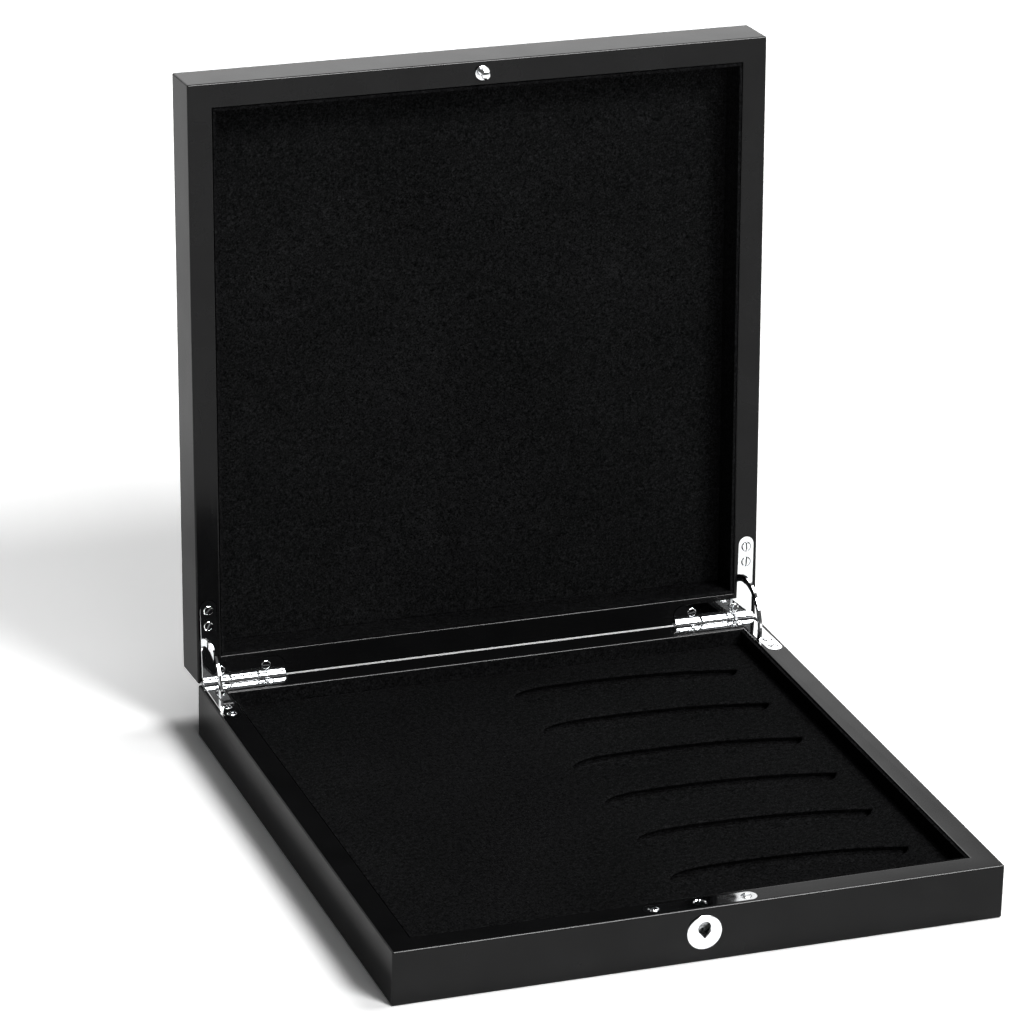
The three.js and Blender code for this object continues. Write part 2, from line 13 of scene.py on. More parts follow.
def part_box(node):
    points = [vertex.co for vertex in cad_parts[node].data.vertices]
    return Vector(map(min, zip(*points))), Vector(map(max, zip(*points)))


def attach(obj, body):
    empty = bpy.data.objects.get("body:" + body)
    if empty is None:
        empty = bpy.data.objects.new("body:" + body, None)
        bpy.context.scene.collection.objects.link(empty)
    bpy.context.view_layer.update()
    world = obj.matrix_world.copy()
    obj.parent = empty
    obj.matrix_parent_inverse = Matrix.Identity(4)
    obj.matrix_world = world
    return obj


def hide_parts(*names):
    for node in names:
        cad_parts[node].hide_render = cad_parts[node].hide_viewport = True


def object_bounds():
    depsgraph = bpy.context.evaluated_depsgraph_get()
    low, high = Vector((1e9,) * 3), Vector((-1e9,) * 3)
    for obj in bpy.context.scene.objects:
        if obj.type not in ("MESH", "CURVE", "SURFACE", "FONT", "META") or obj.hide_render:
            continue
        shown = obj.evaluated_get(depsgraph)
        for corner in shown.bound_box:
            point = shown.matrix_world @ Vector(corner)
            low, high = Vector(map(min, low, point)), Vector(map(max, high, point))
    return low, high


bl_info = {
    "name": "Knife display case",
    "version": (1, 0, 0),
    "blender": (4, 5, 0),
    "location": "3D View > Sidebar > Knife case",
    "description": "Builds the shells, velvet, hinges, stays and lock of a knife display case",
    "category": "Add Mesh",
}

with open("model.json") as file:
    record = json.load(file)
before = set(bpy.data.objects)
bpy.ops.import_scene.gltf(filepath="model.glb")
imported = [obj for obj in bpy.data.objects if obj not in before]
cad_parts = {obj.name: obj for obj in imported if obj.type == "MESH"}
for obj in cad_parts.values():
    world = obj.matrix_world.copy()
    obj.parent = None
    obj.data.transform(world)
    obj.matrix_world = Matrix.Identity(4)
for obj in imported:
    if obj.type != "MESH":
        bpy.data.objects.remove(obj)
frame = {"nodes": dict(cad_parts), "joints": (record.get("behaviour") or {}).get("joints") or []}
CAD_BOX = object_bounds()
JOINTS = {joint["name"]: joint for joint in frame["joints"]}

# Both trays are drawn the same way up: the hinge axis is the origin, Y runs from it to the
# front rail, and the rim faces +Z. These matrices stand each tray where it belongs.
AXIS = Matrix.Translation(JOINTS["lid_hinge"]["pos_m"])
OPEN_ANGLE = math.radians(JOINTS["lid_hinge"]["range_deg"][1])
TRAYS = {
    "base": AXIS @ Matrix.Diagonal((1, -1, 1, 1)),
    "lid": AXIS @ Matrix.Rotation(math.pi - OPEN_ANGLE, 4, "X"),
}
# Stand a piece that was drawn flat across the hinge axis, or facing the front
ACROSS = Matrix(((0, 0, 1, 0), (1, 0, 0, 0), (0, 1, 0, 0), (0, 0, 0, 1)))
FORWARD = Matrix(((1, 0, 0, 0), (0, 0, 1, 0), (0, 1, 0, 0), (0, 0, 0, 1)))
PANELS = {"base": "base_bottom_panel", "lid": "lid_top_panel"}
SIDES = ("front", "rear", "left", "right")
HANDS = {"left": -1, "right": 1}
TINY = 1e-6  # Points nearer than this lie in one plane
PAST = 0.001  # How far a cutting shape reaches past what it cuts
HEAD_GAP = 0.0003  # Between a stay arm's head and the leaf that stops it
SMALL_ROUND, ROUND, LARGE_ROUND = 32, 48, 96  # Faces round a turned shape, by its size
SCREW_ROUND = 40
SMOOTH_ANGLE = math.radians(35)  # Faces that meet at more than this stay sharp
CORNER_ANGLE = math.radians(80)  # Faces that meet at more than this make a corner


def tray_box(tray, *nodes):
    """Gives the lowest and highest corners of CAD pieces, in their tray's own frame."""
    to_tray = TRAYS[tray].inverted()
    meshes = [frame["nodes"][node].data for node in nodes]
    corners = [to_tray @ vertex.co for mesh in meshes for vertex in mesh.vertices]
    low = Vector(min(corner[axis] for corner in corners) for axis in range(3))
    high = Vector(max(corner[axis] for corner in corners) for axis in range(3))
    return low, high


def tray_middle(tray, node):
    """Gives the middle of a CAD piece's box, in its tray's own frame."""
    low, high = tray_box(tray, node)
    return (low + high) / 2


RIM = tray_box("base", "base_left_rail")[1].z
LEAF_LOW, LEAF_HIGH = tray_box("lid", "right_lid_leaf")
STAY_LOW, STAY_HIGH = tray_box("base", "right_stay_arm")
STAY_MIDDLE = (STAY_LOW.x + STAY_HIGH.x) / 2
STAY_REACH = (STAY_HIGH.x - STAY_LOW.x) / 2  # Half the width of a stay arm's heads
PLATE_LOW, PLATE_HIGH = tray_box("base", "lock_faceplate")
LOCK_LOW, LOCK_HIGH = tray_box("base", "lock_case")
KEY_LOW, KEY_HIGH = tray_box("base", "escutcheon")
STUD_LOW, STUD_HIGH = tray_box("lid", "striker_stud")
HINGE_SCREWS = [f"leaf_screw_{number}" for number in range(1, 5)]


# Sizes and colours


def size(name, default, description):
    """A length in metres."""
    return FloatProperty(
        name=name, description=description, default=default, min=0, precision=5,
        subtype="DISTANCE", unit="LENGTH",
    )


def turn(name, degrees, description):
    """An angle, given in degrees."""
    return FloatProperty(
        name=name, description=description, default=math.radians(degrees),
        subtype="ANGLE", unit="ROTATION",
    )


def share(name, default, description, highest=1.0):
    """A level from 0 to its highest value."""
    return FloatProperty(
        name=name, description=description, default=default, min=0, max=highest,
        subtype="FACTOR")


def count(name, default, description):
    """A number of things, at least one."""
    return IntProperty(name=name, description=description, default=default, min=1)


def colour(name, default, description):
    """A colour, as linear red, green and blue."""
    return FloatVectorProperty(
        name=name, description=description, default=default, size=3, min=0, max=1,
        subtype="COLOR")


class ShellSizes(PropertyGroup):
    edge: size("Edge", 0.001, "Radius of the shells' rounded edges")
    edge_steps: count("Edge steps", 3, "Faces across a rounded edge")
    fit: size("Fit", 0.0003, "Gap left round a fitting that is let into a rim")
    rim_rise: size("Rim rise", 0.0001, "How far the rims stand above the CAD's rims")
    back_reach: size("Back reach", 0.0011, "How far the shells' backs reach under the hinge line")
    seam: size("Panel seam", 0.0003, "Width and depth of the seam round the bottom panel")


class VelvetSizes(PropertyGroup):
    board_edge: size("Board edge", 0.0005, "Radius of the liners' edges")
    panel_edge: size("Panel edge", 0.0012, "Radius of the insert's and the lid lining's edges")
    pockets: count("Pockets", 6, "Number of blade pockets")
    pitch: size("Pitch", 0.0475, "Distance from one pocket to the next")
    length: size("Pocket length", 0.132, "Length of a pocket from heel to tip")
    width: size("Pocket width", 0.0203, "Width of a pocket at its shoulder")
    depth: size("Pocket depth", 0.0040, "Depth of a pocket's floor")
    heel_x: size("Heel place", 0.0015, "Distance of the pockets' heels from the case's middle")
    rows_y: size("Row place", 0.00265, "Distance of the rows' middle behind the case's middle")
    heel_radius: size("Heel radius", 0.008, "Radius of the near corner of the heel")
    heel_drop: size("Heel drop", 0.0118, "How far the far edge falls at the heel")
    shoulder: size("Shoulder", 0.0285, "Distance from heel to the far edge's highest point")
    tip_drop: size("Tip drop", 0.0106, "How far the far edge falls at the tip")
    tip_slant: size("Tip slant", 0.0125, "Length of the near edge's turn to the tip")
    tip_radius: size("Tip radius", 0.0015, "Roundness of the tip")
    lip: size("Lip", 0.0021, "How far the velvet rolls back from a pocket's edge")
    lip_drop: size("Lip drop", 0.0010, "How deep the rolled edge goes before it turns under")
    undercut: size("Undercut", 0.003, "How far the pocket runs back under its edge")
    nose: size("Nose", 0.0003, "Radius of the edge where it turns under")
    heel_swell: size("Heel swell", 0.001, "How far the far edge's curve starts from the heel")
    brow: size("Brow", 0.0009, "How far the far edge's curve is drawn up behind the shoulder")
    bulge: size("Bulge", 0.0003, "How far the other curves are drawn out")


class HingeSizes(PropertyGroup):
    leaf_width: size("Leaf width", 0.009, "Width of each arm of a leaf")
    leaf_thickness: size("Leaf thickness", 0.0014, "Thickness of a leaf")
    leaf_rise: size("Leaf rise", 0.00025, "How far a leaf stands above the CAD rim")
    leaf_corner: size("Leaf corner", 0.006, "Radius of the rear arm's end")
    leaf_edge: size("Leaf edge", 0.0008, "Rounding of a leaf's edges")
    barrel: size("Barrel", 0.006, "Diameter of the knuckles")
    barrel_edge: size("Knuckle edge", 0.0005, "Rounding of the knuckles' ends")
    knuckles: count("Knuckles", 3, "Number of knuckles in a hinge")
    pin: size("Pin", 0.0026, "Diameter of a hinge pin")
    pin_edge: size("Pin edge", 0.0004, "Rounding of a pin's ends")
    play: size("Play", 0.0003, "Gap between knuckles, and round the pin")
    slot_play: size("Slot play", 0.0004, "Gap between a stay arm and its slot in a leaf")
    slot_corner: size("Slot corner", 0.0008, "Radius of that slot's corners")
    pocket_play: size("Pocket play", 0.0005, "Gap between a stay arm and its pocket in a rail")
    sides: count("Barrel sides", 64, "Faces round a knuckle")


class StaySizes(PropertyGroup):
    radius: size("Arc", 0.022, "Radius of the arc that a stay arm follows")
    width: size("Width", 0.004, "Width of a stay arm")
    thickness: size("Thickness", 0.0013, "Thickness of a stay arm")
    edge: size("Edge", 0.0003, "Rounding of a stay arm's edges")
    head: size("Head", 0.004, "Diameter of the heads that stop a stay arm")
    steps: count("Arc steps", 48, "Faces along a stay arm")


class ScrewSizes(PropertyGroup):
    head: size("Head", 0.0052, "Diameter of a screw's head")
    rise: size("Rise", 0.00055, "Height of the head's flat top above the CAD rim")
    brim: size("Brim", 0.0005, "Rounding of the head's edge")
    sink: size("Sink", 0.0012, "Depth of the head's cone")
    lip: size("Lip", 0.00015, "Depth of the head's upright lip above the cone")
    shank: size("Shank", 0.0024, "Diameter of the shank")
    tip: share("Tip", 0.3, "Width of the screw's end, as a share of the shank")
    length: size("Length", 0.011, "Length of a screw")
    slot_width: size("Slot width", 0.001, "Width of the driver slot")
    slot_depth: size("Slot depth", 0.001, "Depth of the driver slot")
    fit: size("Fit", 0.0003, "Gap between a head and its countersink")


class LockSizes(PropertyGroup):
    hole: size("Stud hole", 0.0058, "Diameter of the hole for the striker stud")
    chamfer: size("Hole chamfer", 0.0005, "Width of that hole's chamfer")
    plate_edge: size("Plate edge", 0.00018, "Rounding of the faceplate's edges")
    rim: size("Escutcheon rim", 0.0006, "Height of the escutcheon's upright rim")
    rim_edge: size("Escutcheon edge", 0.0003, "Rounding of that rim")
    keyway: size("Keyway", 0.02, "Length of the hole behind the escutcheon")
    keyhole: size("Keyhole", 0.0068, "Diameter of the keyhole's round part")
    keyhole_rise: size("Keyhole rise", 0.0024, "Height of the keyhole above the middle")
    keyhole_reach: size("Keyhole reach", 0.0052, "Length of the keyhole's point")
    dish: size("Dish", 0.0004, "Width of the slope round the keyhole")
    stud_neck: size("Stud neck", 0.003, "Diameter of the striker stud's neck")
    stud_head: size("Stud head", 0.0048, "Diameter of its head")
    stud_head_height: size("Stud head height", 0.0018, "Height of its head")
    stud_flange_rise: size("Flange rise", 0.0005, "Height of its flange above the rim")
    stud_flange: size("Flange thickness", 0.001, "Thickness of its flange")
    stud_crown: size("Stud crown", 0.0009, "Height of its head's rounded top")
    stud_edge: size("Stud edge", 0.0002, "Width of its small slopes")


class Finishes(PropertyGroup):
    lacquer: colour("Lacquer", (0.0044, 0.0045, 0.0047), "Colour of the lacquered shells")
    lacquer_coat: share("Lacquer coat", 0.4, "Weight of the lacquer's clear coat")
    lacquer_gloss: share("Lacquer roughness", 0.13, "Roughness of the clear coat")
    velvet: colour("Velvet", (0.0068, 0.0069, 0.0072), "Colour of the velvet")
    # Strength of the velvet's painted glints, pale specks that stand in for light on fibre ends
    fibre_glints: share("Fibres", 2.2, "How pale the velvet's fibre ends are", highest=10)
    chrome: colour("Chrome", (0.83, 0.84, 0.85), "Colour of the plated fittings")
    chrome_gloss: share("Chrome roughness", 0.05, "Roughness of the plated fittings")
    chrome_ripple: share("Chrome ripple", 0.02, "Strength of the ripple left by polishing")
    steel: colour("Steel", (0.36, 0.37, 0.38), "Colour of the bare steel inside the lock")
    steel_gloss: share("Steel roughness", 0.32, "Roughness of the bare steel")
    steel_ripple: share("Steel ripple", 0.2, "Strength of its ripple")
    floor: colour("Floor", (0.94, 0.94, 0.94), "Colour of the floor")
    floor_white: share("Floor white", 1.45, "How much whiter the floor looks than it is", highest=2)


class StageLevels(PropertyGroup):
    sky: share("Sky", 0.05, "Strength of the even light", highest=4)
    key: share("Key light", 0.47, "Strength of the light from the front right", highest=4)
    key_heading: turn("Key heading", 30, "Turn of the key light from the front to the right")
    key_height: turn("Key height", 44, "Height of the key light above level")
    key_spread: turn("Key spread", 19, "Width of the key light")
    top: share("Top light", 0.43, "Strength of the light from above", highest=4)
    top_heading: turn("Top heading", 104, "Turn of the top light from the front to the right")
    top_height: turn("Top height", 52, "Height of the top light above level")
    top_spread: turn("Top spread", 38, "Width of the top light")
    fill: share("Fill light", 0.07, "Strength of the light from beside the camera", highest=4)
    fill_heading: turn("Fill heading", 3, "Turn of the fill light from the front to the right")
    fill_height: turn("Fill height", 22, "Height of the fill light above level")
    fill_spread: turn("Fill spread", 30, "Width of the fill light")
    back_sheet: share("Back sheet", 1.38, "Brightness of the mirrored sheet behind", highest=20)
    strip: share("Strip", 60, "Brightness of the mirrored strip overhead", highest=100)
    ceiling: share("Ceiling", 0.1, "How light the ceiling is that glossy surfaces mirror")
    heading: turn("Heading", 20.099, "Turn of the camera to the right of straight ahead")
    tilt: turn("Tilt", 22.0135, "Tilt of the camera below level")
    roll: turn("Roll", 1.251, "Roll of the camera")
    lens: FloatProperty(name="Lens", description="Focal length", default=178.95, unit="CAMERA")


# Node trees


class Wire:
    """A node's output that can be used in sums, each of which adds its Math node."""

    def __init__(self, sheet, socket):
        self.sheet = sheet
        self.socket = socket

    def maths(self, operation, *values):
        return self.sheet.node("ShaderNodeMath", {"operation": operation}, dict(enumerate(values)))

    def __add__(self, other):
        return self.maths("ADD", self, other)

    def __sub__(self, other):
        return self.maths("SUBTRACT", self, other)

    def __rsub__(self, other):
        return self.maths("SUBTRACT", other, self)

    def __mul__(self, other):
        return self.maths("MULTIPLY", self, other)

    __radd__ = __add__
    __rmul__ = __mul__


class NodeSheet:
    """Adds nodes to one tree."""

    def __init__(self, tree):
        self.tree = tree

    def node(self, kind, settings=None, inputs=None, output=0):
        """Adds a node, gives it its settings and then its sockets' values or links."""
        made = self.tree.nodes.new(kind)
        for name, value in (settings or {}).items():
            if name == "stops":
                set_stops(made.color_ramp, value)
            else:
                setattr(made, name, value)
        for name, value in (inputs or {}).items():
            if isinstance(value, Wire):
                self.tree.links.new(value.socket, made.inputs[name])
            else:
                made.inputs[name].default_value = value
        return Wire(self, made.outputs[output]) if len(made.outputs) else None


def set_stops(ramp, stops):
    """Gives a colour ramp its stops, as (place, grey level)."""
    while len(ramp.elements) < len(stops):
        ramp.elements.new(1)
    for element, (place, level) in zip(ramp.elements, stops):
        element.position = place
        element.color = (level, level, level, 1)


def new_material(name):
    material = bpy.data.materials.new(name)
    material.use_nodes = True
    material.node_tree.nodes.clear()
    return material, NodeSheet(material.node_tree)


def noise(sheet, place, scale, detail=2.0, roughness=0.5):
    return sheet.node(
        "ShaderNodeTexNoise", {},
        {"Vector": place, "Scale": scale, "Detail": detail, "Roughness": roughness}, "Fac")


def spread(sheet, value, low, high):
    """Carries the middle part of a noise, 0.3 to 0.7, over to the range low to high."""
    return sheet.node(
        "ShaderNodeMapRange", {"clamp": True},
        {"Value": value, "From Min": 0.3, "From Max": 0.7, "To Min": low, "To Max": high})


def shaded(sheet, rgb, level):
    """Makes a colour lighter or darker by a level."""
    black = (0, 0, 0, 1)
    return sheet.node(
        "ShaderNodeMix", {"data_type": "RGBA", "clamp_factor": False},
        {"Factor": level, 6: black, 7: (*rgb, 1)}, 2)


def bump(sheet, height, strength, distance):
    """Makes small heights out of a noise."""
    return sheet.node(
        "ShaderNodeBump", {}, {"Strength": strength, "Distance": distance, "Height": height})


def surface(sheet, kind, inputs):
    """Ends a material with its shader."""
    shader = sheet.node(kind, {}, inputs)
    sheet.node("ShaderNodeOutputMaterial", {}, {"Surface": shader})


def lacquer_material(name, finish):
    """Polished lacquer: almost black, with a faint unevenness in its gloss and its film."""
    material, sheet = new_material(name)
    place = sheet.node("ShaderNodeTexCoord", output="Object")
    cloud = noise(sheet, place, scale=45, detail=3)
    peel = noise(sheet, place, scale=420)
    tone = spread(sheet, cloud, 0.85, 1.15)
    coat = finish.lacquer_coat * spread(sheet, cloud, 0.96, 1.04)
    film = bump(sheet, peel, strength=0.05, distance=0.0002)
    surface(sheet, "ShaderNodeBsdfPrincipled", {
        "Base Color": shaded(sheet, finish.lacquer, tone),
        "Roughness": 0.6,
        "Specular IOR Level": 0.0,
        "Coat Weight": coat,
        "Coat Roughness": finish.lacquer_gloss,
        "Coat IOR": 1.45,
        "Normal": film,
    })
    return material


def velvet_material(name, finish):
    """Short-pile velvet: a fine mottled grain, with pale specks that are painted glints of fibre
    ends.
    """
    material, sheet = new_material(name)
    place = sheet.node("ShaderNodeTexCoord", output="Object")
    grain = noise(sheet, place, scale=1100, roughness=0.7)
    tufts = noise(sheet, place, scale=420, roughness=0.6)
    nap = noise(sheet, place, scale=14)
    # Pale specks added to the base colour are painted glints: light caught by fibre ends
    painted_glints = sheet.node(
        "ShaderNodeValToRGB", {"stops": [(0, 0), (0.66, 0), (0.8, 1)]}, {"Fac": grain})
    tone = spread(sheet, grain, 0.2, 1.8) * spread(sheet, tufts, 0.6, 1.4)
    tone = tone * spread(sheet, nap, 0.88, 1.12) + painted_glints * finish.fibre_glints
    pile = bump(sheet, grain + tufts, strength=0.5, distance=0.0003)
    surface(sheet, "ShaderNodeBsdfPrincipled", {
        "Base Color": shaded(sheet, finish.velvet, tone),
        "Roughness": 1.0,
        "Specular IOR Level": 0.0,
        "Normal": pile,
    })
    return material


def plated_material(name, rgb, roughness, ripple):
    """Bright metal with a faint ripple from polishing and slightly duller patches."""
    material, sheet = new_material(name)
    place = sheet.node("ShaderNodeTexCoord", output="Object")
    cloud = noise(sheet, place, scale=160)
    wave = noise(sheet, place, scale=240, detail=1)
    polish = bump(sheet, wave, strength=ripple, distance=0.0004)
    surface(sheet, "ShaderNodeBsdfPrincipled", {
        "Base Color": shaded(sheet, rgb, spread(sheet, cloud, 0.94, 1.04)),
        "Metallic": 1.0,
        "Roughness": roughness * spread(sheet, cloud, 0.8, 1.3),
        "Normal": polish,
    })
    return material


def material_for(slot):
    """Gives the material of a slot, and makes it the first time."""
    name = f"{slot}_finish"
    made = bpy.data.materials.get(name)
    if made:
        return made
    finish = bpy.context.scene.knife_case.finishes
    if slot == "lacquer":
        return lacquer_material(name, finish)
    if slot == "velvet":
        return velvet_material(name, finish)
    return plated_material(name, *(getattr(finish, f"{slot}{part}")
                                   for part in ("", "_gloss", "_ripple")))


# Outlines, as lists of (x, y) points


def arc(x, y, radius, start, stop, steps):
    """Points on a circle about (x, y), from one angle to another."""
    angles = [start + (stop - start) * step / steps for step in range(steps + 1)]
    return [(x + radius * math.cos(angle), y + radius * math.sin(angle)) for angle in angles]


def rectangle(x0, x1, y0, y1, radius=0, steps=4):
    """A rectangle, with round corners if it has a radius."""
    if not radius:
        return [(x0, y0), (x1, y0), (x1, y1), (x0, y1)]
    quarter = math.pi / 2
    return [
        *arc(x0 + radius, y0 + radius, radius, 2 * quarter, 3 * quarter, steps),
        *arc(x1 - radius, y0 + radius, radius, 3 * quarter, 4 * quarter, steps),
        *arc(x1 - radius, y1 - radius, radius, 0, quarter, steps),
        *arc(x0 + radius, y1 - radius, radius, quarter, 2 * quarter, steps),
    ]


def box_outline(low, high, margin=0.0, radius=0.0):
    """The outline of a box seen from above, with a margin round it."""
    return rectangle(low.x - margin, high.x + margin, low.y - margin, high.y + margin, radius)


def curve(points, steps):
    """Points on a curve through its first and last control points, without the first."""
    made = []
    for step in range(1, steps + 1):
        t = step / steps
        level = [Vector(point) for point in points]
        while len(level) > 1:
            level = [first.lerp(second, t) for first, second in zip(level, level[1:])]
        made.append(tuple(level[0]))
    return made


def grown(outline, distance):
    """Moves each point of a counter-clockwise outline outwards."""
    shifted = []
    last = len(outline) - 1
    for index, point in enumerate(outline):
        before = Vector(point) - Vector(outline[index - 1])
        after = Vector(outline[0 if index == last else index + 1]) - Vector(point)
        before.normalize()
        after.normalize()
        across = Vector((before.y + after.y, -before.x - after.x)).normalized()
        # The point of a sharp corner moves no further than twice the distance
        stretch = 1 / max(0.5, across.dot(Vector((before.y, -before.x))))
        shifted.append(tuple(Vector(point) + across * distance * stretch))
    return shifted


def grown_rings(outline, profile):
    """An outline at each height of a profile of (reach, height) points, grown by the reach."""
    return [(grown(outline, reach), height) for reach, height in profile]


# Solids


def loop_of(bm, outline, height):
    return [bm.verts.new((x, y, height)) for x, y in outline]


def wall_between(bm, lower, upper):
    """Joins two loops of points, which run the same way round, with upright faces."""
    last = len(lower) - 1
    for index in range(len(lower)):
        following = 0 if index == last else index + 1
        bm.faces.new([lower[index], lower[following], upper[following], upper[index]])


def stack(bm, rings):
    """Draws outlines at their heights and joins each to the next."""
    loops = [loop_of(bm, outline, height) for outline, height in rings]
    for first, second in zip(loops, loops[1:]):
        wall_between(bm, first, second)
    return loops


def column(rings):
    """A closed solid of counter-clockwise outlines, from the lowest on."""
    bm = bmesh.new()
    loops = stack(bm, rings)
    bm.faces.new(reversed(loops[0]))
    bm.faces.new(loops[-1])
    return bm


def prism(outline, bottom, top):
    return column([(outline, bottom), (outline, top)])


def block(low, high):
    return prism(rectangle(low[0], high[0], low[1], high[1]), low[2], high[2])


def turned(profile, sides):
    """A profile of (radius, height) points, from the axis back to the axis, turned about Z."""
    bm = bmesh.new()
    rings = []
    for radius, height in profile:
        if radius:
            rings.append(loop_of(bm, arc(0, 0, radius, 0, 2 * math.pi, sides)[:-1], height))
        else:
            rings.append([bm.verts.new((0, 0, height))])
    for lower, upper in zip(rings, rings[1:]):
        if len(lower) > 1 and len(upper) > 1:
            wall_between(bm, lower, upper)
            continue
        ring, pole = (lower, upper[0]) if len(upper) == 1 else (upper, lower[0])
        for first, second in zip(ring, ring[1:] + ring[:1]):
            bm.faces.new([first, second, pole])
    return bm


def drum(radius, bottom, top, sides):
    """An upright round block about Z."""
    return turned([(0, bottom), (radius, bottom), (radius, top), (0, top)], sides)


def rod(diameter, start, stop, sides, edge=0.0):
    """A round bar along X with rounded ends."""
    radius = diameter / 2
    side = [(radius, start), (radius, stop)]
    if edge:
        corner = arc(radius - edge, 0, edge, 0, math.pi / 2, 4)
        side = [(x, start + edge - y) for x, y in reversed(corner)]
        side += [(x, stop - edge + y) for x, y in corner]
    bm = turned([(0, start), *side, (0, stop)], sides)
    bm.transform(Matrix.Rotation(math.pi / 2, 4, "Y"))
    return bm


def rounded(bm, radius, steps, chosen):
    """Rounds the edges that a test picks out."""
    edges = [edge for edge in bm.edges if chosen(edge)]
    bmesh.ops.bevel(
        bm, geom=edges, offset=radius, offset_type="OFFSET", segments=steps, profile=0.5,
        affect="EDGES")
    return bm


def level_edge(*heights):
    """Picks out the edges that lie at one of some heights."""
    return lambda edge: any(
        all(abs(vertex.co.z - height) < TINY / 10 for vertex in edge.verts) for height in heights)


def right_angle(edge):
    """Picks out the edges that turn by about a quarter."""
    return len(edge.link_faces) == 2 and edge.calc_face_angle() > CORNER_ANGLE


def moved(bm, x=0.0, y=0.0, z=0.0):
    bm.transform(Matrix.Translation((x, y, z)))
    return bm


# Objects


def new_object(name, bm):
    """Makes an object of a solid, with its faces outward."""
    bmesh.ops.recalc_face_normals(bm, faces=bm.faces)
    mesh = bpy.data.meshes.new(name)
    bm.to_mesh(mesh)
    bm.free()
    piece = bpy.data.objects.new(name, mesh)
    bpy.context.scene.collection.objects.link(piece)
    return piece


def settle(piece):
    """Keeps what a piece's modifiers make as its mesh, and removes them."""
    graph = bpy.context.evaluated_depsgraph_get()
    shaped = bpy.data.meshes.new_from_object(
        piece.evaluated_get(graph), preserve_all_data_layers=True, depsgraph=graph)
    plain = piece.data
    piece.modifiers.clear()
    piece.data = shaped
    bpy.data.meshes.remove(plain)
    shaped.name = piece.name
    return piece


def combine(piece, operation, shapes):
    """Cuts shapes out of a piece, or joins them to it."""
    helpers = [new_object("helper", shape) for shape in shapes]
    for helper in helpers:
        modifier = piece.modifiers.new("Combine", "BOOLEAN")
        modifier.operation = operation
        modifier.solver = "EXACT"
        modifier.object = helper
    settle(piece)
    for helper in helpers:
        bpy.data.meshes.remove(helper.data)
    return piece


def cut(piece, shapes):
    return combine(piece, "DIFFERENCE", shapes)


def join(piece, shapes):
    return combine(piece, "UNION", shapes)


def stand(piece, tray, hand="right"):
    """Puts a piece that was drawn in a tray's frame, for the right-hand side, in its place."""
    matrix = TRAYS[tray] @ Matrix.Diagonal((HANDS[hand], 1, 1, 1))
    piece.data.transform(matrix)
    if matrix.determinant() < 0:
        piece.data.flip_normals()
    return piece


def finish(piece, body, slot, *replaced):
    """Smooths a piece, gives it its material and lets it move with its body."""
    piece.data.shade_smooth()
    piece.data.set_sharp_from_angle(angle=SMOOTH_ANGLE)
    weighted = piece.modifiers.new("Even normals", "WEIGHTED_NORMAL")
    weighted.keep_sharp = True
    settle(piece)
    piece.data.materials.clear()
    piece.data.materials.append(material_for(slot))
    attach(piece, body)
    if replaced:
        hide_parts(*replaced)
    return piece


# Shells


def tray_shell(tray, sizes):
    """The rails and the panel of a tray as one lacquered shell with a well."""
    low, high = tray_box(tray, *[f"{tray}_{side}_rail" for side in SIDES])
    rail_low, rail_high = tray_box(tray, f"{tray}_left_rail")
    rail = rail_high.x - rail_low.x
    inner = box_outline(low, high, -rail)
    low.y -= sizes.back_reach
    high.z += sizes.rim_rise
    outer = box_outline(low, high)
    well_floor = tray_box(tray, PANELS[tray])[1].z
    bm = column([(outer, low.z), (outer, high.z), (inner, high.z), (inner, well_floor)])
    bmesh.ops.recalc_face_normals(bm, faces=bm.faces)
    rounded(bm, sizes.edge, sizes.edge_steps, lambda edge: (
        right_angle(edge) and not all(vertex.co.z < well_floor + TINY for vertex in edge.verts)
        and not is_well_corner(edge, low, high)
        or level_edge(low.z)(edge)))
    return new_object(f"{tray}_shell", bm)


def is_well_corner(edge, low, high):
    """Tells the upright edges inside the well, which stay sharp."""
    first, second = (vertex.co for vertex in edge.verts)
    upright = abs(first.z - second.z) > TINY
    inside = low.x + TINY < first.x < high.x - TINY
    return upright and inside


def leaf_outline(sizes, margin=0.0):
    """The L of a right-hand leaf: its corner lies on the hinge's outer end."""
    outer = LEAF_HIGH.x + margin
    length = LEAF_HIGH.x - LEAF_LOW.x
    middle = LEAF_HIGH.x - sizes.leaf_width / 2
    radius = sizes.leaf_width / 2 + margin
    inner = outer - length - 2 * margin
    end = length - sizes.leaf_width / 2
    low, high = tray_box("lid", "right_lid_leaf_screw_3")
    rear = (low.y + high.y) / 2 + sizes.leaf_width / 2 + margin
    corner = sizes.leaf_corner + margin
    return [
        (outer, 0),
        *arc(middle, end, radius, 0, math.pi, 24),
        (middle - radius, rear),
        *arc(inner + corner, rear - corner, corner, math.pi / 2, math.pi, 14),
        (inner, 0),
    ]


def stay_pocket(stays, hinges):
    """The mortise in a side rail that half of the stay arm slides into."""
    gap = hinges.pocket_play
    side = STAY_REACH + gap
    half_span = OPEN_ANGLE / 2 + stay_head_angle(stays, hinges)
    near = stays.radius * math.cos(half_span) - stays.head / 2 - gap
    far = stays.radius + stays.width / 2 + 2 * gap
    floor = -stays.radius * math.sin(half_span) - stays.head / 2 - gap
    return block((STAY_MIDDLE - side, near, floor), (STAY_MIDDLE + side, far, RIM + PAST))


def stay_head_angle(stays, hinges):
    """The angle from a rim to the head that stops under its leaf."""
    dip = -RIM + hinges.leaf_thickness + HEAD_GAP + stays.head / 2
    return math.asin(dip / stays.radius)


def mirrored(bm):
    bm.transform(Matrix.Diagonal((-1, 1, 1, 1)))
    bmesh.ops.reverse_faces(bm, faces=bm.faces)
    return bm


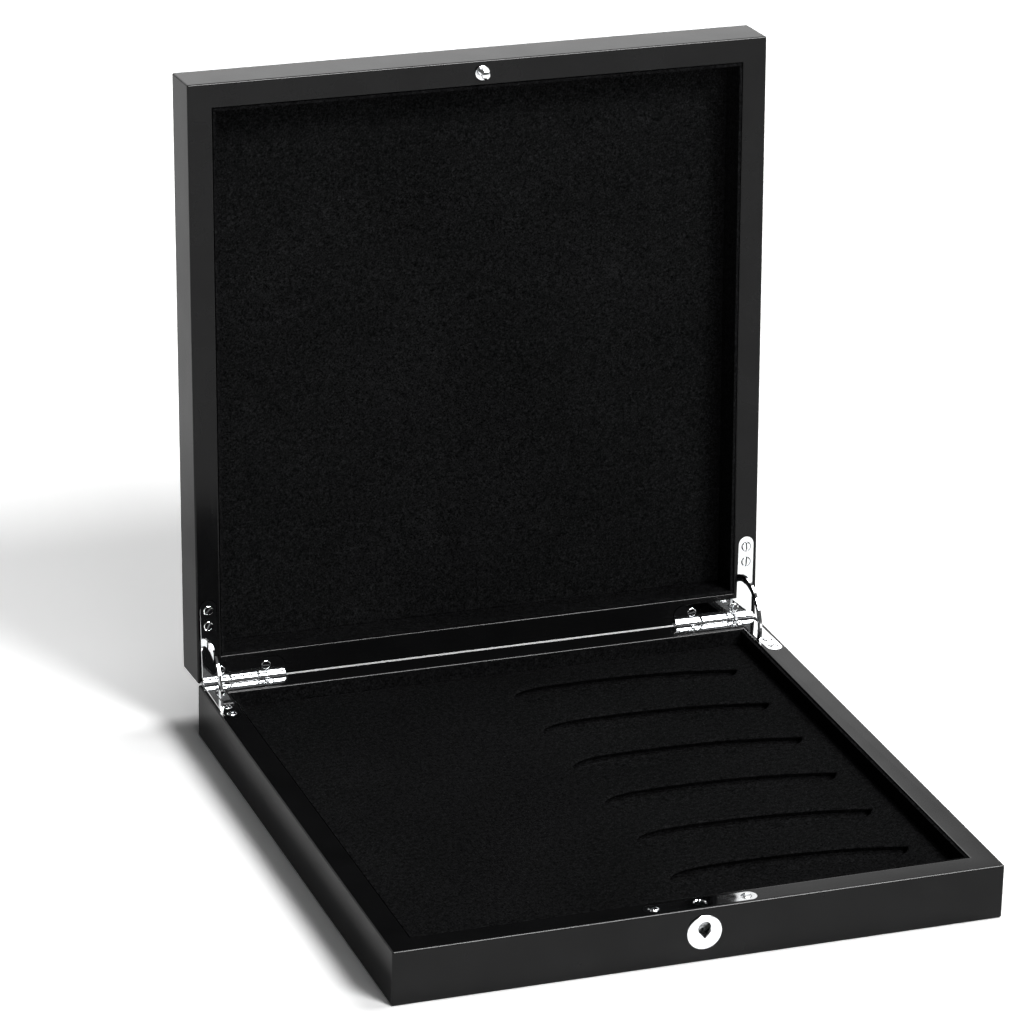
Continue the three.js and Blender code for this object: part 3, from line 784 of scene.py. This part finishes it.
def hinge_mortises(case, hand):
    """What is let into the rims for one hinge."""
    hinges = case.hinges
    fit = case.shells.fit
    recess = prism(leaf_outline(hinges, fit), RIM - hinges.leaf_thickness - fit, RIM + PAST)
    groove = rod(hinges.barrel + 2 * fit, LEAF_LOW.x - fit, LEAF_HIGH.x + fit, hinges.sides)
    shapes = [recess, groove, stay_pocket(case.stays, hinges)]
    return [mirrored(shape) for shape in shapes] if hand == "left" else shapes


def stadium(length, width, margin=0.0):
    """An outline with round ends, about the origin."""
    radius = width / 2 + margin
    straight = (length - width) / 2
    half = math.pi / 2
    right_end = arc(straight, 0, radius, -half, half, 20)
    return [*right_end, *arc(-straight, 0, radius, half, 3 * half, 20)]


def plate_solid(top, margin=0.0):
    """The faceplate's plain shape up to a height, with a margin round it and under it."""
    room = PLATE_HIGH - PLATE_LOW
    return prism(stadium(room.x, room.y, margin), PLATE_LOW.z - margin, top)


def lock_mortises(case):
    """What is let into the base's front rail for the lock."""
    fit = case.shells.fit
    lock_y = (PLATE_LOW.y + PLATE_HIGH.y) / 2
    recess = moved(plate_solid(RIM + PAST, fit), y=lock_y)
    room = Vector((fit, fit, fit))
    pocket = block(LOCK_LOW - room, (*(LOCK_HIGH + room).xy, RIM))
    key_height = (KEY_LOW.z + KEY_HIGH.z) / 2
    keyway = rod(case.lock.keyhole + 2 * fit, 0, case.lock.keyway, SMALL_ROUND)
    keyway.transform(Matrix.Rotation(math.pi / 2, 4, "Z"))
    return [recess, pocket, moved(keyway, y=lock_y, z=key_height + case.lock.keyhole_rise)]


def stud_mortises(case):
    """The seat and the bore of the striker stud in the lid's front rail."""
    fit = case.shells.fit
    middle = (STUD_LOW + STUD_HIGH) / 2
    flange = STUD_HIGH.x - STUD_LOW.x
    seat_floor = RIM + case.lock.stud_flange_rise - case.lock.stud_flange - fit
    seat = drum(flange / 2 + fit, seat_floor, PAST, ROUND)
    bore = drum(case.lock.stud_neck / 2 + fit, STUD_LOW.z - fit, 0, SMALL_ROUND)
    return [moved(shape, x=middle.x, y=middle.y) for shape in (seat, bore)]


def panel_seam(sizes):
    """The fine seam round the bottom panel."""
    low, high = tray_box("base", PANELS["base"])
    inner = box_outline(low, high)
    outer = box_outline(low, high, sizes.seam)
    below, above = low.z - PAST, low.z + sizes.seam
    bm = bmesh.new()
    loops = stack(bm, [(outer, below), (outer, above), (inner, above), (inner, below)])
    wall_between(bm, loops[-1], loops[0])
    return bm


class KNIFECASE_OT_shells(Operator):
    """Build the two lacquered shells with what is let into them"""

    bl_idname = "knife_case.shells"
    bl_label = "Shells"

    def execute(self, context):
        case = context.scene.knife_case
        for tray, panel in PANELS.items():
            shell = tray_shell(tray, case.shells)
            mortises = hinge_mortises(case, "left") + hinge_mortises(case, "right")
            if tray == "base":
                mortises += [*lock_mortises(case), panel_seam(case.shells)]
            else:
                mortises += stud_mortises(case)
            cut(shell, mortises)
            stand(shell, tray)
            finish(shell, tray, "lacquer", *[f"{tray}_{side}_rail" for side in SIDES], panel)
        return {"FINISHED"}


# Velvet


def board(tray, node, radius):
    """A velvet-covered board with rounded edges, in its tray's frame."""
    low, high = tray_box(tray, node)
    return rounded(block(low, high), radius, 3, right_angle)


class KNIFECASE_OT_linings(Operator):
    """Build the velvet boards that line both trays"""

    bl_idname = "knife_case.linings"
    bl_label = "Linings"

    def execute(self, context):
        sizes = context.scene.knife_case.velvet
        for tray in TRAYS:
            for side in SIDES:
                node = f"{tray}_{side}_liner"
                piece = new_object(f"{tray}_{side}_lining", board(tray, node, sizes.board_edge))
                finish(stand(piece, tray), tray, "velvet", node)
        piece = new_object("lid_lining", board("lid", "lid_lining_panel", sizes.panel_edge))
        finish(stand(piece, "lid"), "lid", "velvet", "lid_lining_panel")
        return {"FINISHED"}


def pocket_outline(sizes):
    """One pocket, drawn from its heel at x = 0, with y = 0 as the top of its far edge.

    The points of a curve between its first and its last are its handles.
    """
    near = -sizes.width
    tip = sizes.length
    tip_y = -sizes.tip_drop
    heel_top = -sizes.heel_drop
    radius = sizes.heel_radius
    slope = (tip - sizes.shoulder) / 3
    turn_start = (tip - sizes.tip_slant, near)
    tip_near = (tip, tip_y - sizes.tip_radius)
    tip_far = (tip - sizes.tip_radius, tip_y + sizes.tip_radius / 2)
    shoulder = (sizes.shoulder, 0)
    heel = (0, heel_top)
    return [
        *arc(radius, near + radius, radius, math.pi, 1.5 * math.pi, 12),
        *curve([(radius, near), turn_start], 24),
        *curve([turn_start, (tip - sizes.tip_slant / 3, near), tip_near], 12),
        *curve([tip_near, (tip + sizes.bulge, tip_y), tip_far], 8),
        *curve([tip_far, (tip - slope, tip_y / 12),
                (sizes.shoulder + slope, sizes.brow), shoulder], 40),
        *curve([shoulder, (0.37 * sizes.shoulder, -sizes.bulge),
                (sizes.heel_swell, heel_top + 0.6 * sizes.heel_drop), heel], 16),
        *curve([heel, (0, near + radius)], 2)[:-1],
    ]


def pocket_cup(sizes):
    """The velvet in one pocket: a rolled lip that turns under, a wall and the floor."""
    turn_under = -sizes.lip_drop
    profile = [(sizes.lip * (1 - up), turn_under * (1 - along))
               for along, up in arc(0, 0, 1, 0, math.pi / 2, 6)]
    profile += arc(sizes.nose, turn_under, sizes.nose, math.pi, 1.5 * math.pi, 3)[1:]
    profile += [(sizes.undercut, turn_under - 2 * sizes.nose), (sizes.undercut, -sizes.depth)]
    bm = bmesh.new()
    loops = stack(bm, grown_rings(pocket_outline(sizes), profile))
    bm.faces.new(loops[-1])
    return bm


def repeat_tree(name, *inputs):
    """Starts a Geometry Nodes tree with its named inputs and one geometry output."""
    tree = bpy.data.node_groups.new(name, "GeometryNodeTree")
    tree.is_modifier = True
    inputs = [("Geometry", "Geometry"), ("Pattern", "Object"), *inputs, ("Material", "Material")]
    for label, kind in inputs:
        tree.interface.new_socket(label, in_out="INPUT", socket_type=f"NodeSocket{kind}")
    tree.interface.new_socket("Geometry", in_out="OUTPUT", socket_type="NodeSocketGeometry")
    sheet = NodeSheet(tree)
    group = tree.nodes.new("NodeGroupInput")
    wires = {label: Wire(sheet, group.outputs[label]) for label, _ in inputs}
    return tree, sheet, wires


def end_tree(sheet, wires, placing):
    """Ends a tree: the pattern is put on its points as plain geometry with its material."""
    copy = sheet.node("GeometryNodeObjectInfo", {}, {"Object": wires["Pattern"]}, "Geometry")
    placed = sheet.node("GeometryNodeInstanceOnPoints", {}, {"Instance": copy, **placing})
    plain = sheet.node("GeometryNodeRealizeInstances", {}, {"Geometry": placed})
    dressed = sheet.node(
        "GeometryNodeSetMaterial", {}, {"Geometry": plain, "Material": wires["Material"]})
    sheet.node("NodeGroupOutput", {}, {"Geometry": dressed})


def run_tree(piece, tree, values):
    """Gives a tree its values on a piece, and keeps what it makes as the piece's mesh."""
    modifier = piece.modifiers.new(tree.name, "NODES")
    modifier.node_group = tree
    for item in tree.interface.items_tree:
        if item.in_out == "INPUT" and item.name in values:
            modifier[item.identifier] = values[item.name]
    return settle(piece)


def pocket_row_tree():
    """Repeats one pocket at an even pitch along Y."""
    tree, sheet, wires = repeat_tree("Pocket row", ("Rows", "Int"), ("Pitch", "Float"))
    step = sheet.node("ShaderNodeCombineXYZ", {}, {"Y": wires["Pitch"]})
    line = sheet.node(
        "GeometryNodeMeshLine", {"mode": "OFFSET"}, {"Count": wires["Rows"], "Offset": step})
    end_tree(sheet, wires, {"Points": line})
    return tree


class KNIFECASE_OT_insert(Operator):
    """Build the velvet insert with its row of blade pockets"""

    bl_idname = "knife_case.insert"
    bl_label = "Knife insert"

    def execute(self, context):
        sizes = context.scene.knife_case.velvet
        pocket = new_object("pocket", pocket_cup(sizes))
        piece = new_object("insert", bmesh.new())
        run_tree(piece, pocket_row_tree(), {
            "Pattern": pocket, "Rows": sizes.pockets, "Pitch": sizes.pitch,
            "Material": material_for("velvet"),
        })
        bpy.data.meshes.remove(pocket.data)
        bm = bmesh.new()
        bm.from_mesh(piece.data)
        first_far = sizes.rows_y - (sizes.pockets - 1) / 2 * sizes.pitch + sizes.width / 2
        moved(bm, x=sizes.heel_x, y=first_far, z=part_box("knife_insert")[1].z)
        self.close(bm, sizes)
        bm.to_mesh(piece.data)
        bm.free()
        finish(piece, "base", "velvet", "knife_insert")
        return {"FINISHED"}

    def close(self, bm, sizes):
        """Adds the top round the pockets, its rounded edge, the sides and the underside."""
        low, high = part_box("knife_insert")
        radius = sizes.panel_edge
        openings = [edge for edge in bm.edges if edge.is_boundary]
        rings = []
        for along, up in arc(0, 0, 1, 0, math.pi / 2, 4):
            inset = radius * (1 - up)
            corner = max(radius * 1.5 - inset, radius / 2)
            outline = box_outline(low, high, -inset, corner)
            rings.append((outline, high.z - radius * (1 - along)))
        rings.append((box_outline(low, high, 0, radius * 1.5), low.z))
        loops = stack(bm, rings)
        bm.faces.new(reversed(loops[-1]))
        border = set(loops[0])
        openings += [
            edge for edge in bm.edges if edge.is_boundary and border.issuperset(edge.verts)]
        bmesh.ops.triangle_fill(bm, use_beauty=True, edges=openings, normal=(0, 0, 1))
        bmesh.ops.recalc_face_normals(bm, faces=bm.faces)


# Hinges


def screw_profile(sizes, margin=0.0):
    """A screw's side: shank, cone, brim and flat top. A margin makes the shape of its hole."""
    head = sizes.head / 2 + margin
    shank = sizes.shank / 2 + margin
    profile = [
        (0, -sizes.length), (shank * sizes.tip, -sizes.length), (shank, shank - sizes.length),
        (shank, -sizes.sink - margin), (head, -sizes.lip - margin),
    ]
    if margin:
        return [*profile, (head, PAST), (0, PAST)]
    brim = arc(head - sizes.brim, sizes.rise - sizes.brim, sizes.brim, 0, math.pi / 2, 5)
    return [*profile, *brim, (0, sizes.rise)]


def screw_hole(sizes, tray, node):
    """The countersunk hole of a screw, in its tray's frame."""
    middle = tray_middle(tray, node)
    return moved(turned(screw_profile(sizes, sizes.fit), ROUND), middle.x, middle.y, RIM)


def knuckle_spans(sizes, tray):
    """Where a tray's own knuckles lie along the hinge: the first belongs to the lid."""
    length = (LEAF_HIGH.x - LEAF_LOW.x) / sizes.knuckles
    first = 0 if tray == "lid" else 1
    rights = [LEAF_HIGH.x - place * length for place in range(first, sizes.knuckles, 2)]
    return [(right - length, right) for right in rights]


def hinge_leaf(tray, case):
    """A right-hand leaf: its plate, its knuckles, the stay's slot and the countersunk holes."""
    sizes = case.hinges
    other = "base" if tray == "lid" else "lid"
    top = RIM + sizes.leaf_rise
    plate = prism(leaf_outline(sizes), RIM - sizes.leaf_thickness, top)
    rounded(plate, sizes.leaf_edge, 3, level_edge(top))
    leaf = new_object("leaf", plate)
    cut(leaf, [
        rod(sizes.barrel + 4 * sizes.play, left - sizes.play, right + sizes.play, sizes.sides)
        for left, right in knuckle_spans(sizes, other)
    ])
    join(leaf, [
        rod(sizes.barrel, left + sizes.play, right - sizes.play, sizes.sides, sizes.barrel_edge)
        for left, right in knuckle_spans(sizes, tray)
    ])
    half_x = case.stays.thickness / 2 + sizes.slot_play
    half_y = case.stays.width / 2 + sizes.slot_play
    slot_outline = rectangle(-half_x, half_x, -half_y, half_y, sizes.slot_corner)
    slot = prism(slot_outline, RIM - 2 * sizes.leaf_thickness, RIM + PAST)
    bore = rod(
        sizes.pin + 2 * sizes.play, LEAF_LOW.x - PAST, LEAF_HIGH.x + PAST, SMALL_ROUND)
    holes = [screw_hole(case.screws, tray, f"right_{tray}_{screw}") for screw in HINGE_SCREWS]
    return cut(leaf, [moved(slot, STAY_MIDDLE, case.stays.radius), bore, *holes])


class KNIFECASE_OT_hinges(Operator):
    """Build the four hinge leaves and the two pins"""

    bl_idname = "knife_case.hinges"
    bl_label = "Hinges"

    def execute(self, context):
        case = context.scene.knife_case
        sizes = case.hinges
        for hand in HANDS:
            for tray in TRAYS:
                leaf = hinge_leaf(tray, case)
                leaf.name = f"{hand}_{tray}_hinge_leaf"
                finish(stand(leaf, tray, hand), tray, "chrome", f"{hand}_{tray}_leaf")
            pin = new_object(f"{hand}_pin", rod(
                sizes.pin, LEAF_LOW.x, LEAF_HIGH.x, SMALL_ROUND, sizes.pin_edge))
            finish(stand(pin, "base", hand), "base", "steel", f"{hand}_hinge_pin")
        return {"FINISHED"}


class KNIFECASE_OT_stays(Operator):
    """Build the two curved stay arms"""

    bl_idname = "knife_case.stays"
    bl_label = "Stay arms"

    def execute(self, context):
        case = context.scene.knife_case
        sizes = case.stays
        ends = stay_head_angle(sizes, case.hinges)
        first, last = -ends, OPEN_ANGLE + ends
        outline = [
            *arc(0, 0, sizes.radius + sizes.width / 2, first, last, sizes.steps),
            *arc(0, 0, sizes.radius - sizes.width / 2, last, first, sizes.steps),
        ]
        half = sizes.thickness / 2
        outer = sizes.head / 2
        inner = outer - sizes.edge
        head_profile = [
            (0, -STAY_REACH), (inner, -STAY_REACH), (outer, sizes.edge - STAY_REACH),
            (outer, STAY_REACH - sizes.edge), (inner, STAY_REACH), (0, STAY_REACH),
        ]
        for hand in HANDS:
            bar = rounded(prism(outline, -half, half), sizes.edge, 2, level_edge(half, -half))
            arm = new_object(f"{hand}_stay", bar)
            join(arm, [
                moved(turned(head_profile, SMALL_ROUND), *arc(0, 0, sizes.radius, end, end, 1)[0])
                for end in (first, last)
            ])
            arm.data.transform(Matrix.Translation((STAY_MIDDLE, 0, 0)) @ ACROSS)
            finish(stand(arm, "base", hand), f"{hand}_stay", "chrome", f"{hand}_stay_arm")
        return {"FINISHED"}


# Screws


def screw_set_tree():
    """Puts a screw on every point, turned by the point's own angle."""
    tree, sheet, wires = repeat_tree("Screw set", ("Size", "Float"))
    turned_by = sheet.node(
        "GeometryNodeInputNamedAttribute", {"data_type": "FLOAT"}, {"Name": "turn"}, "Attribute")
    angles = sheet.node("ShaderNodeCombineXYZ", {}, {"Z": turned_by})
    rotation = sheet.node("FunctionNodeEulerToRotation", {}, {"Euler": angles})
    end_tree(sheet, wires, {
        "Points": wires["Geometry"], "Rotation": rotation, "Scale": wires["Size"]})
    return tree


# Each screw's slot, in degrees from the case's width, in its tray's frame
SLOT_TURNS = {
    "left_lid": (62, 48, 4, -3),
    "right_lid": (88, 94, 40, 6),
    "left_base": (70, -35, 60, 15),
    "right_base": (30, -20, 75, -10),
    "faceplate": (-18, 12),
}


class KNIFECASE_OT_screws(Operator):
    """Build the slotted screws of the hinges and the lock"""

    bl_idname = "knife_case.screws"
    bl_label = "Screws"

    def execute(self, context):
        sizes = context.scene.knife_case.screws
        pattern = new_object("screw", turned(screw_profile(sizes), SCREW_ROUND))
        half = sizes.slot_width / 2
        cut(pattern, [block(
            (-sizes.head, -half, sizes.rise - sizes.slot_depth), (sizes.head, half, sizes.head))])
        tree = screw_set_tree()
        for tray in TRAYS:
            places = {
                f"{hand}_{tray}_{screw}": SLOT_TURNS[f"{hand}_{tray}"][index]
                for hand in HANDS for index, screw in enumerate(HINGE_SCREWS)
            }
            if tray == "base":
                places |= {f"faceplate_screw_{index + 1}": angle
                           for index, angle in enumerate(SLOT_TURNS["faceplate"])}
            bm = bmesh.new()
            for node in places:
                bm.verts.new((*tray_middle(tray, node).xy, RIM))
            piece = new_object(f"{tray}_screws", bm)
            turns = piece.data.attributes.new("turn", "FLOAT", "POINT")
            turns.data.foreach_set("value", [math.radians(angle) for angle in places.values()])
            run_tree(piece, tree, {
                "Pattern": pattern, "Size": 1.0, "Material": material_for("chrome")})
            finish(stand(piece, tray), tray, "chrome", *places)
        bpy.data.meshes.remove(pattern.data)
        return {"FINISHED"}


# Lock


def faceplate(case):
    """The faceplate in the base's rim, with its stud hole and countersunk screw holes."""
    sizes = case.lock
    middle = (PLATE_LOW + PLATE_HIGH) / 2
    plate = rounded(plate_solid(RIM), sizes.plate_edge, 2, level_edge(RIM))
    piece = new_object("lock_plate", moved(plate, y=middle.y))
    hole = sizes.hole / 2
    below, above = PLATE_LOW.z - PAST, RIM + PAST
    bore = turned([
        (0, below), (hole, below), (hole, RIM - sizes.chamfer),
        (hole + sizes.chamfer + PAST, above), (0, above)], ROUND)
    holes = [screw_hole(case.screws, "base", f"faceplate_screw_{number}") for number in (1, 2)]
    return cut(piece, [moved(bore, y=middle.y), *holes])


def keyhole_shape(sizes, thickness):
    """What is cut out for the keyhole: round above, pointed below, wider in front."""
    radius = sizes.keyhole / 2
    lean = math.asin(radius / sizes.keyhole_reach)
    outline = [*arc(0, 0, radius, -lean, math.pi + lean, 40), (0, -sizes.keyhole_reach)]
    profile = [(0, -thickness), (0, thickness - sizes.dish), (sizes.dish, thickness),
               (sizes.dish, 2 * thickness)]
    return moved(column(grown_rings(outline, profile)), y=sizes.keyhole_rise)


def escutcheon(case):
    """The round plate on the front with its keyhole, drawn lying on its back."""
    sizes = case.lock
    middle = (KEY_LOW + KEY_HIGH) / 2
    radius = (KEY_HIGH.x - KEY_LOW.x) / 2
    front = tray_box("base", "base_front_rail")[1].y
    thickness = KEY_HIGH.y - front
    edge = sizes.rim_edge
    crown = thickness - sizes.rim
    profile = [(0, 0), (radius, 0), *arc(radius - edge, sizes.rim, edge, 0, math.pi / 2, 4)]
    steps = 12
    for step in range(1, steps):
        part = step / steps
        level = sizes.rim + edge + (crown - edge) * (1 - (1 - part) ** 2)
        profile.append(((radius - edge) * (1 - part), level))
    profile.append((0, thickness))
    piece = new_object("key_plate", turned(profile, LARGE_ROUND))
    cut(piece, [keyhole_shape(sizes, thickness)])
    piece.data.transform(Matrix.Translation((middle.x, front, middle.z)) @ FORWARD)
    piece.data.flip_normals()
    return piece


def striker(case):
    """The mushroom stud in the lid's front rail, which the bolt catches."""
    sizes = case.lock
    middle = (STUD_LOW + STUD_HIGH) / 2
    flange = (STUD_HIGH.x - STUD_LOW.x) / 2
    neck = sizes.stud_neck / 2
    head = sizes.stud_head / 2
    rise = sizes.stud_flange_rise
    top = STUD_HIGH.z - RIM
    shoulder = top - sizes.stud_head_height
    soft = sizes.stud_edge
    crown = [(head * along, top - sizes.stud_crown * (1 - up))
             for along, up in arc(0, 0, 1, 0, math.pi / 2, 6)[:-1]]
    piece = new_object("stud", turned([
        (0, STUD_LOW.z - RIM), (neck, STUD_LOW.z - RIM),
        (neck, rise - sizes.stud_flange), (flange, rise - sizes.stud_flange),
        *arc(flange - rise / 2, rise / 2, rise / 2, 0, math.pi / 2, 4),
        (neck + soft, rise), (neck, rise + soft), (neck, shoulder - soft), (neck + soft, shoulder),
        (head - soft, shoulder), (head, shoulder + soft), *crown, (0, top),
    ], ROUND))
    piece.data.transform(Matrix.Translation((middle.x, middle.y, RIM)))
    return piece


class KNIFECASE_OT_lock(Operator):
    """Build the lock's faceplate, escutcheon and striker stud, and finish its inner pieces"""

    bl_idname = "knife_case.lock"
    bl_label = "Lock"

    def execute(self, context):
        case = context.scene.knife_case
        finish(stand(faceplate(case), "base"), "base", "chrome", "lock_faceplate")
        finish(stand(escutcheon(case), "base"), "base", "chrome", "escutcheon")
        finish(stand(striker(case), "lid"), "lid", "chrome", "striker_stud")
        for node in ("lock_case", "lock_bolt", "lock_tumbler"):
            mesh = frame["nodes"][node].data
            mesh.materials.clear()
            mesh.materials.append(material_for("steel"))
        return {"FINISHED"}


# Stage


FLOOR_REACH = 20  # Half the floor's width
FLOOR_GAP = 0.00005  # Between the floor and the case
# The mirrored sky darkens between these heights, which its lean raises towards the back
CEILING_START, CEILING_FULL, CEILING_LEAN = 0.2, 0.6, 0.5
# Each mirrored sheet's middle, its tilt in degrees from facing down, and its width and height
SHEETS = {
    "back_sheet": ((1.5, 10, 2.9), -90, (8, 4.8)),
    "strip": ((1, -1.05, 2.6), 22, (3, 0.6)),
}
CAMERA_PLACE = (-0.8821, -2.2851, 1.1678)
CAMERA_REACH = 100  # How far it sees
SENSOR_WIDTH = 36  # Millimetres, as the lens


def shown(sheet, *kinds):
    """Is 1 for the rays that see or mirror something, and 0 for those that carry its light."""
    rays = [sheet.node("ShaderNodeLightPath", output=f"Is {kind} Ray") for kind in kinds]
    return sum(rays[1:], rays[0])


def build_floor(case):
    """A pale floor, seen and mirrored whiter than it is lit."""
    material, sheet = new_material("floor")
    level = 1 + (case.finishes.floor_white - 1) * shown(sheet, "Camera", "Transmission", "Glossy")
    surface(sheet, "ShaderNodeBsdfDiffuse", {"Color": shaded(sheet, case.finishes.floor, level)})
    outline = rectangle(-FLOOR_REACH, FLOOR_REACH, -FLOOR_REACH, FLOOR_REACH)
    bm = bmesh.new()
    bm.faces.new(loop_of(bm, outline, CAD_BOX[0].z - FLOOR_GAP))
    floor = new_object("floor", bm)
    floor.data.materials.append(material)


def build_sky(context, levels):
    """White where it is seen, softer overhead where it is mirrored, and even light for the rest."""
    world = bpy.data.worlds.new("Studio")
    context.scene.world = world
    world.use_nodes = True
    world.node_tree.nodes.clear()
    sheet = NodeSheet(world.node_tree)
    seen = shown(sheet, "Camera", "Transmission")
    in_gloss = shown(sheet, "Glossy")
    direction = sheet.node("ShaderNodeTexCoord", output="Generated")
    height = sheet.node("ShaderNodeSeparateXYZ", {}, {"Vector": direction}, "Z")
    back = sheet.node("ShaderNodeSeparateXYZ", {}, {"Vector": direction}, "Y")
    ceiling = sheet.node(
        "ShaderNodeMapRange", {"interpolation_type": "SMOOTHSTEP"},
        {"Value": height - CEILING_LEAN * back, "From Min": CEILING_START,
         "From Max": CEILING_FULL, "To Min": 1.0, "To Max": levels.ceiling})
    rest = 1 - seen - in_gloss
    strength = seen + in_gloss * ceiling + rest * levels.sky
    light = sheet.node("ShaderNodeBackground", {}, {"Color": (1, 1, 1, 1), "Strength": strength})
    sheet.node("ShaderNodeOutputWorld", {}, {"Surface": light})


def add_light(context, name, kind, matrix):
    """Adds a light that the camera doesn't see."""
    light = bpy.data.lights.new(name, kind)
    holder = bpy.data.objects.new(name, light)
    context.scene.collection.objects.link(holder)
    holder.matrix_world = matrix
    holder.visible_camera = False
    return holder


def add_far_light(context, levels, name):
    """A wide light from far away, whose level is its share of the floor's full light."""
    heading, height, spread_angle = (
        getattr(levels, f"{name}_{part}") for part in ("heading", "height", "spread"))
    turned_to = Matrix.Rotation(heading, 4, "Z") @ Matrix.Rotation(math.pi / 2 - height, 4, "X")
    holder = add_light(context, name, "SUN", turned_to)
    holder.data.angle = spread_angle
    holder.data.energy = math.pi * getattr(levels, name) / math.sin(height)
    return holder


def add_sheet(context, levels, name):
    """A bright sheet that only glossy surfaces show."""
    middle, tilt, (width, height) = SHEETS[name]
    matrix = Matrix.Translation(middle) @ Matrix.Rotation(math.radians(tilt), 4, "X")
    holder = add_light(context, name, "AREA", matrix)
    holder.data.shape = "RECTANGLE"
    holder.data.size = width
    holder.data.size_y = height
    holder.data.energy = math.pi * width * height * getattr(levels, name)
    holder.visible_diffuse = False


def add_camera(context, levels):
    """Stands the camera where the photograph was taken from."""
    lens = bpy.data.cameras.new("camera")
    lens.sensor_width = SENSOR_WIDTH
    lens.lens = levels.lens
    lens.clip_end = CAMERA_REACH
    camera = bpy.data.objects.new("camera", lens)
    context.scene.collection.objects.link(camera)
    camera.matrix_world = (
        Matrix.Translation(CAMERA_PLACE)
        @ Matrix.Rotation(-levels.heading, 4, "Z")
        @ Matrix.Rotation(math.pi / 2 - levels.tilt, 4, "X")
        @ Matrix.Rotation(levels.roll, 4, "Z"))
    context.scene.camera = camera


class KNIFECASE_OT_stage(Operator):
    """Build the floor, the light and the camera"""

    bl_idname = "knife_case.stage"
    bl_label = "Stage"

    def execute(self, context):
        case = context.scene.knife_case
        levels = case.stage
        build_floor(case)
        build_sky(context, levels)
        add_far_light(context, levels, "key")
        add_far_light(context, levels, "top")
        add_far_light(context, levels, "fill").visible_glossy = False
        for name in SHEETS:
            add_sheet(context, levels, name)
        add_camera(context, levels)
        context.scene.view_settings.view_transform = "Standard"
        return {"FINISHED"}


def sizes_of(name, description, kind):
    """One group of the case's settings."""
    return PointerProperty(name=name, description=description, type=kind)


class KnifeCase(PropertyGroup):
    shells: sizes_of("Shells", "Sizes of the lacquered shells", ShellSizes)
    velvet: sizes_of("Velvet", "Sizes of the velvet pieces", VelvetSizes)
    hinges: sizes_of("Hinges", "Sizes of the hinges", HingeSizes)
    stays: sizes_of("Stays", "Sizes of the stay arms", StaySizes)
    screws: sizes_of("Screws", "Sizes of the screws", ScrewSizes)
    lock: sizes_of("Lock", "Sizes of the lock", LockSizes)
    finishes: sizes_of("Finishes", "Colours and gloss", Finishes)
    stage: sizes_of("Stage", "Light and camera", StageLevels)


BUILDERS = (
    KNIFECASE_OT_shells, KNIFECASE_OT_linings, KNIFECASE_OT_insert, KNIFECASE_OT_hinges,
    KNIFECASE_OT_stays, KNIFECASE_OT_screws, KNIFECASE_OT_lock, KNIFECASE_OT_stage,
)


class KNIFECASE_PT_panel(Panel):
    """The case's pieces and their sizes"""

    bl_idname = "KNIFECASE_PT_panel"
    bl_label = "Knife display case"
    bl_space_type = "VIEW_3D"
    bl_region_type = "UI"
    bl_category = "Knife case"

    def draw(self, context):
        case = context.scene.knife_case
        for builder in BUILDERS:
            self.layout.operator(builder.bl_idname)
        for group in KnifeCase.__annotations__:
            settings = getattr(case, group)
            box = self.layout.box()
            box.label(text=group.title())
            for name in settings.__annotations__:
                box.prop(settings, name)


CLASSES = (
    ShellSizes, VelvetSizes, HingeSizes, StaySizes, ScrewSizes, LockSizes, Finishes, StageLevels,
    KnifeCase, *BUILDERS, KNIFECASE_PT_panel,
)


def register():
    for item in CLASSES:
        bpy.utils.register_class(item)
    bpy.types.Scene.knife_case = PointerProperty(type=KnifeCase)


def unregister():
    del bpy.types.Scene.knife_case
    for item in reversed(CLASSES):
        bpy.utils.unregister_class(item)


def main():
    """Builds every piece in order."""
    register()
    bpy.ops.knife_case.shells()
    bpy.ops.knife_case.linings()
    bpy.ops.knife_case.insert()
    bpy.ops.knife_case.hinges()
    bpy.ops.knife_case.stays()
    bpy.ops.knife_case.screws()
    bpy.ops.knife_case.lock()
    bpy.ops.knife_case.stage()


if __name__ == "__main__":
    main()
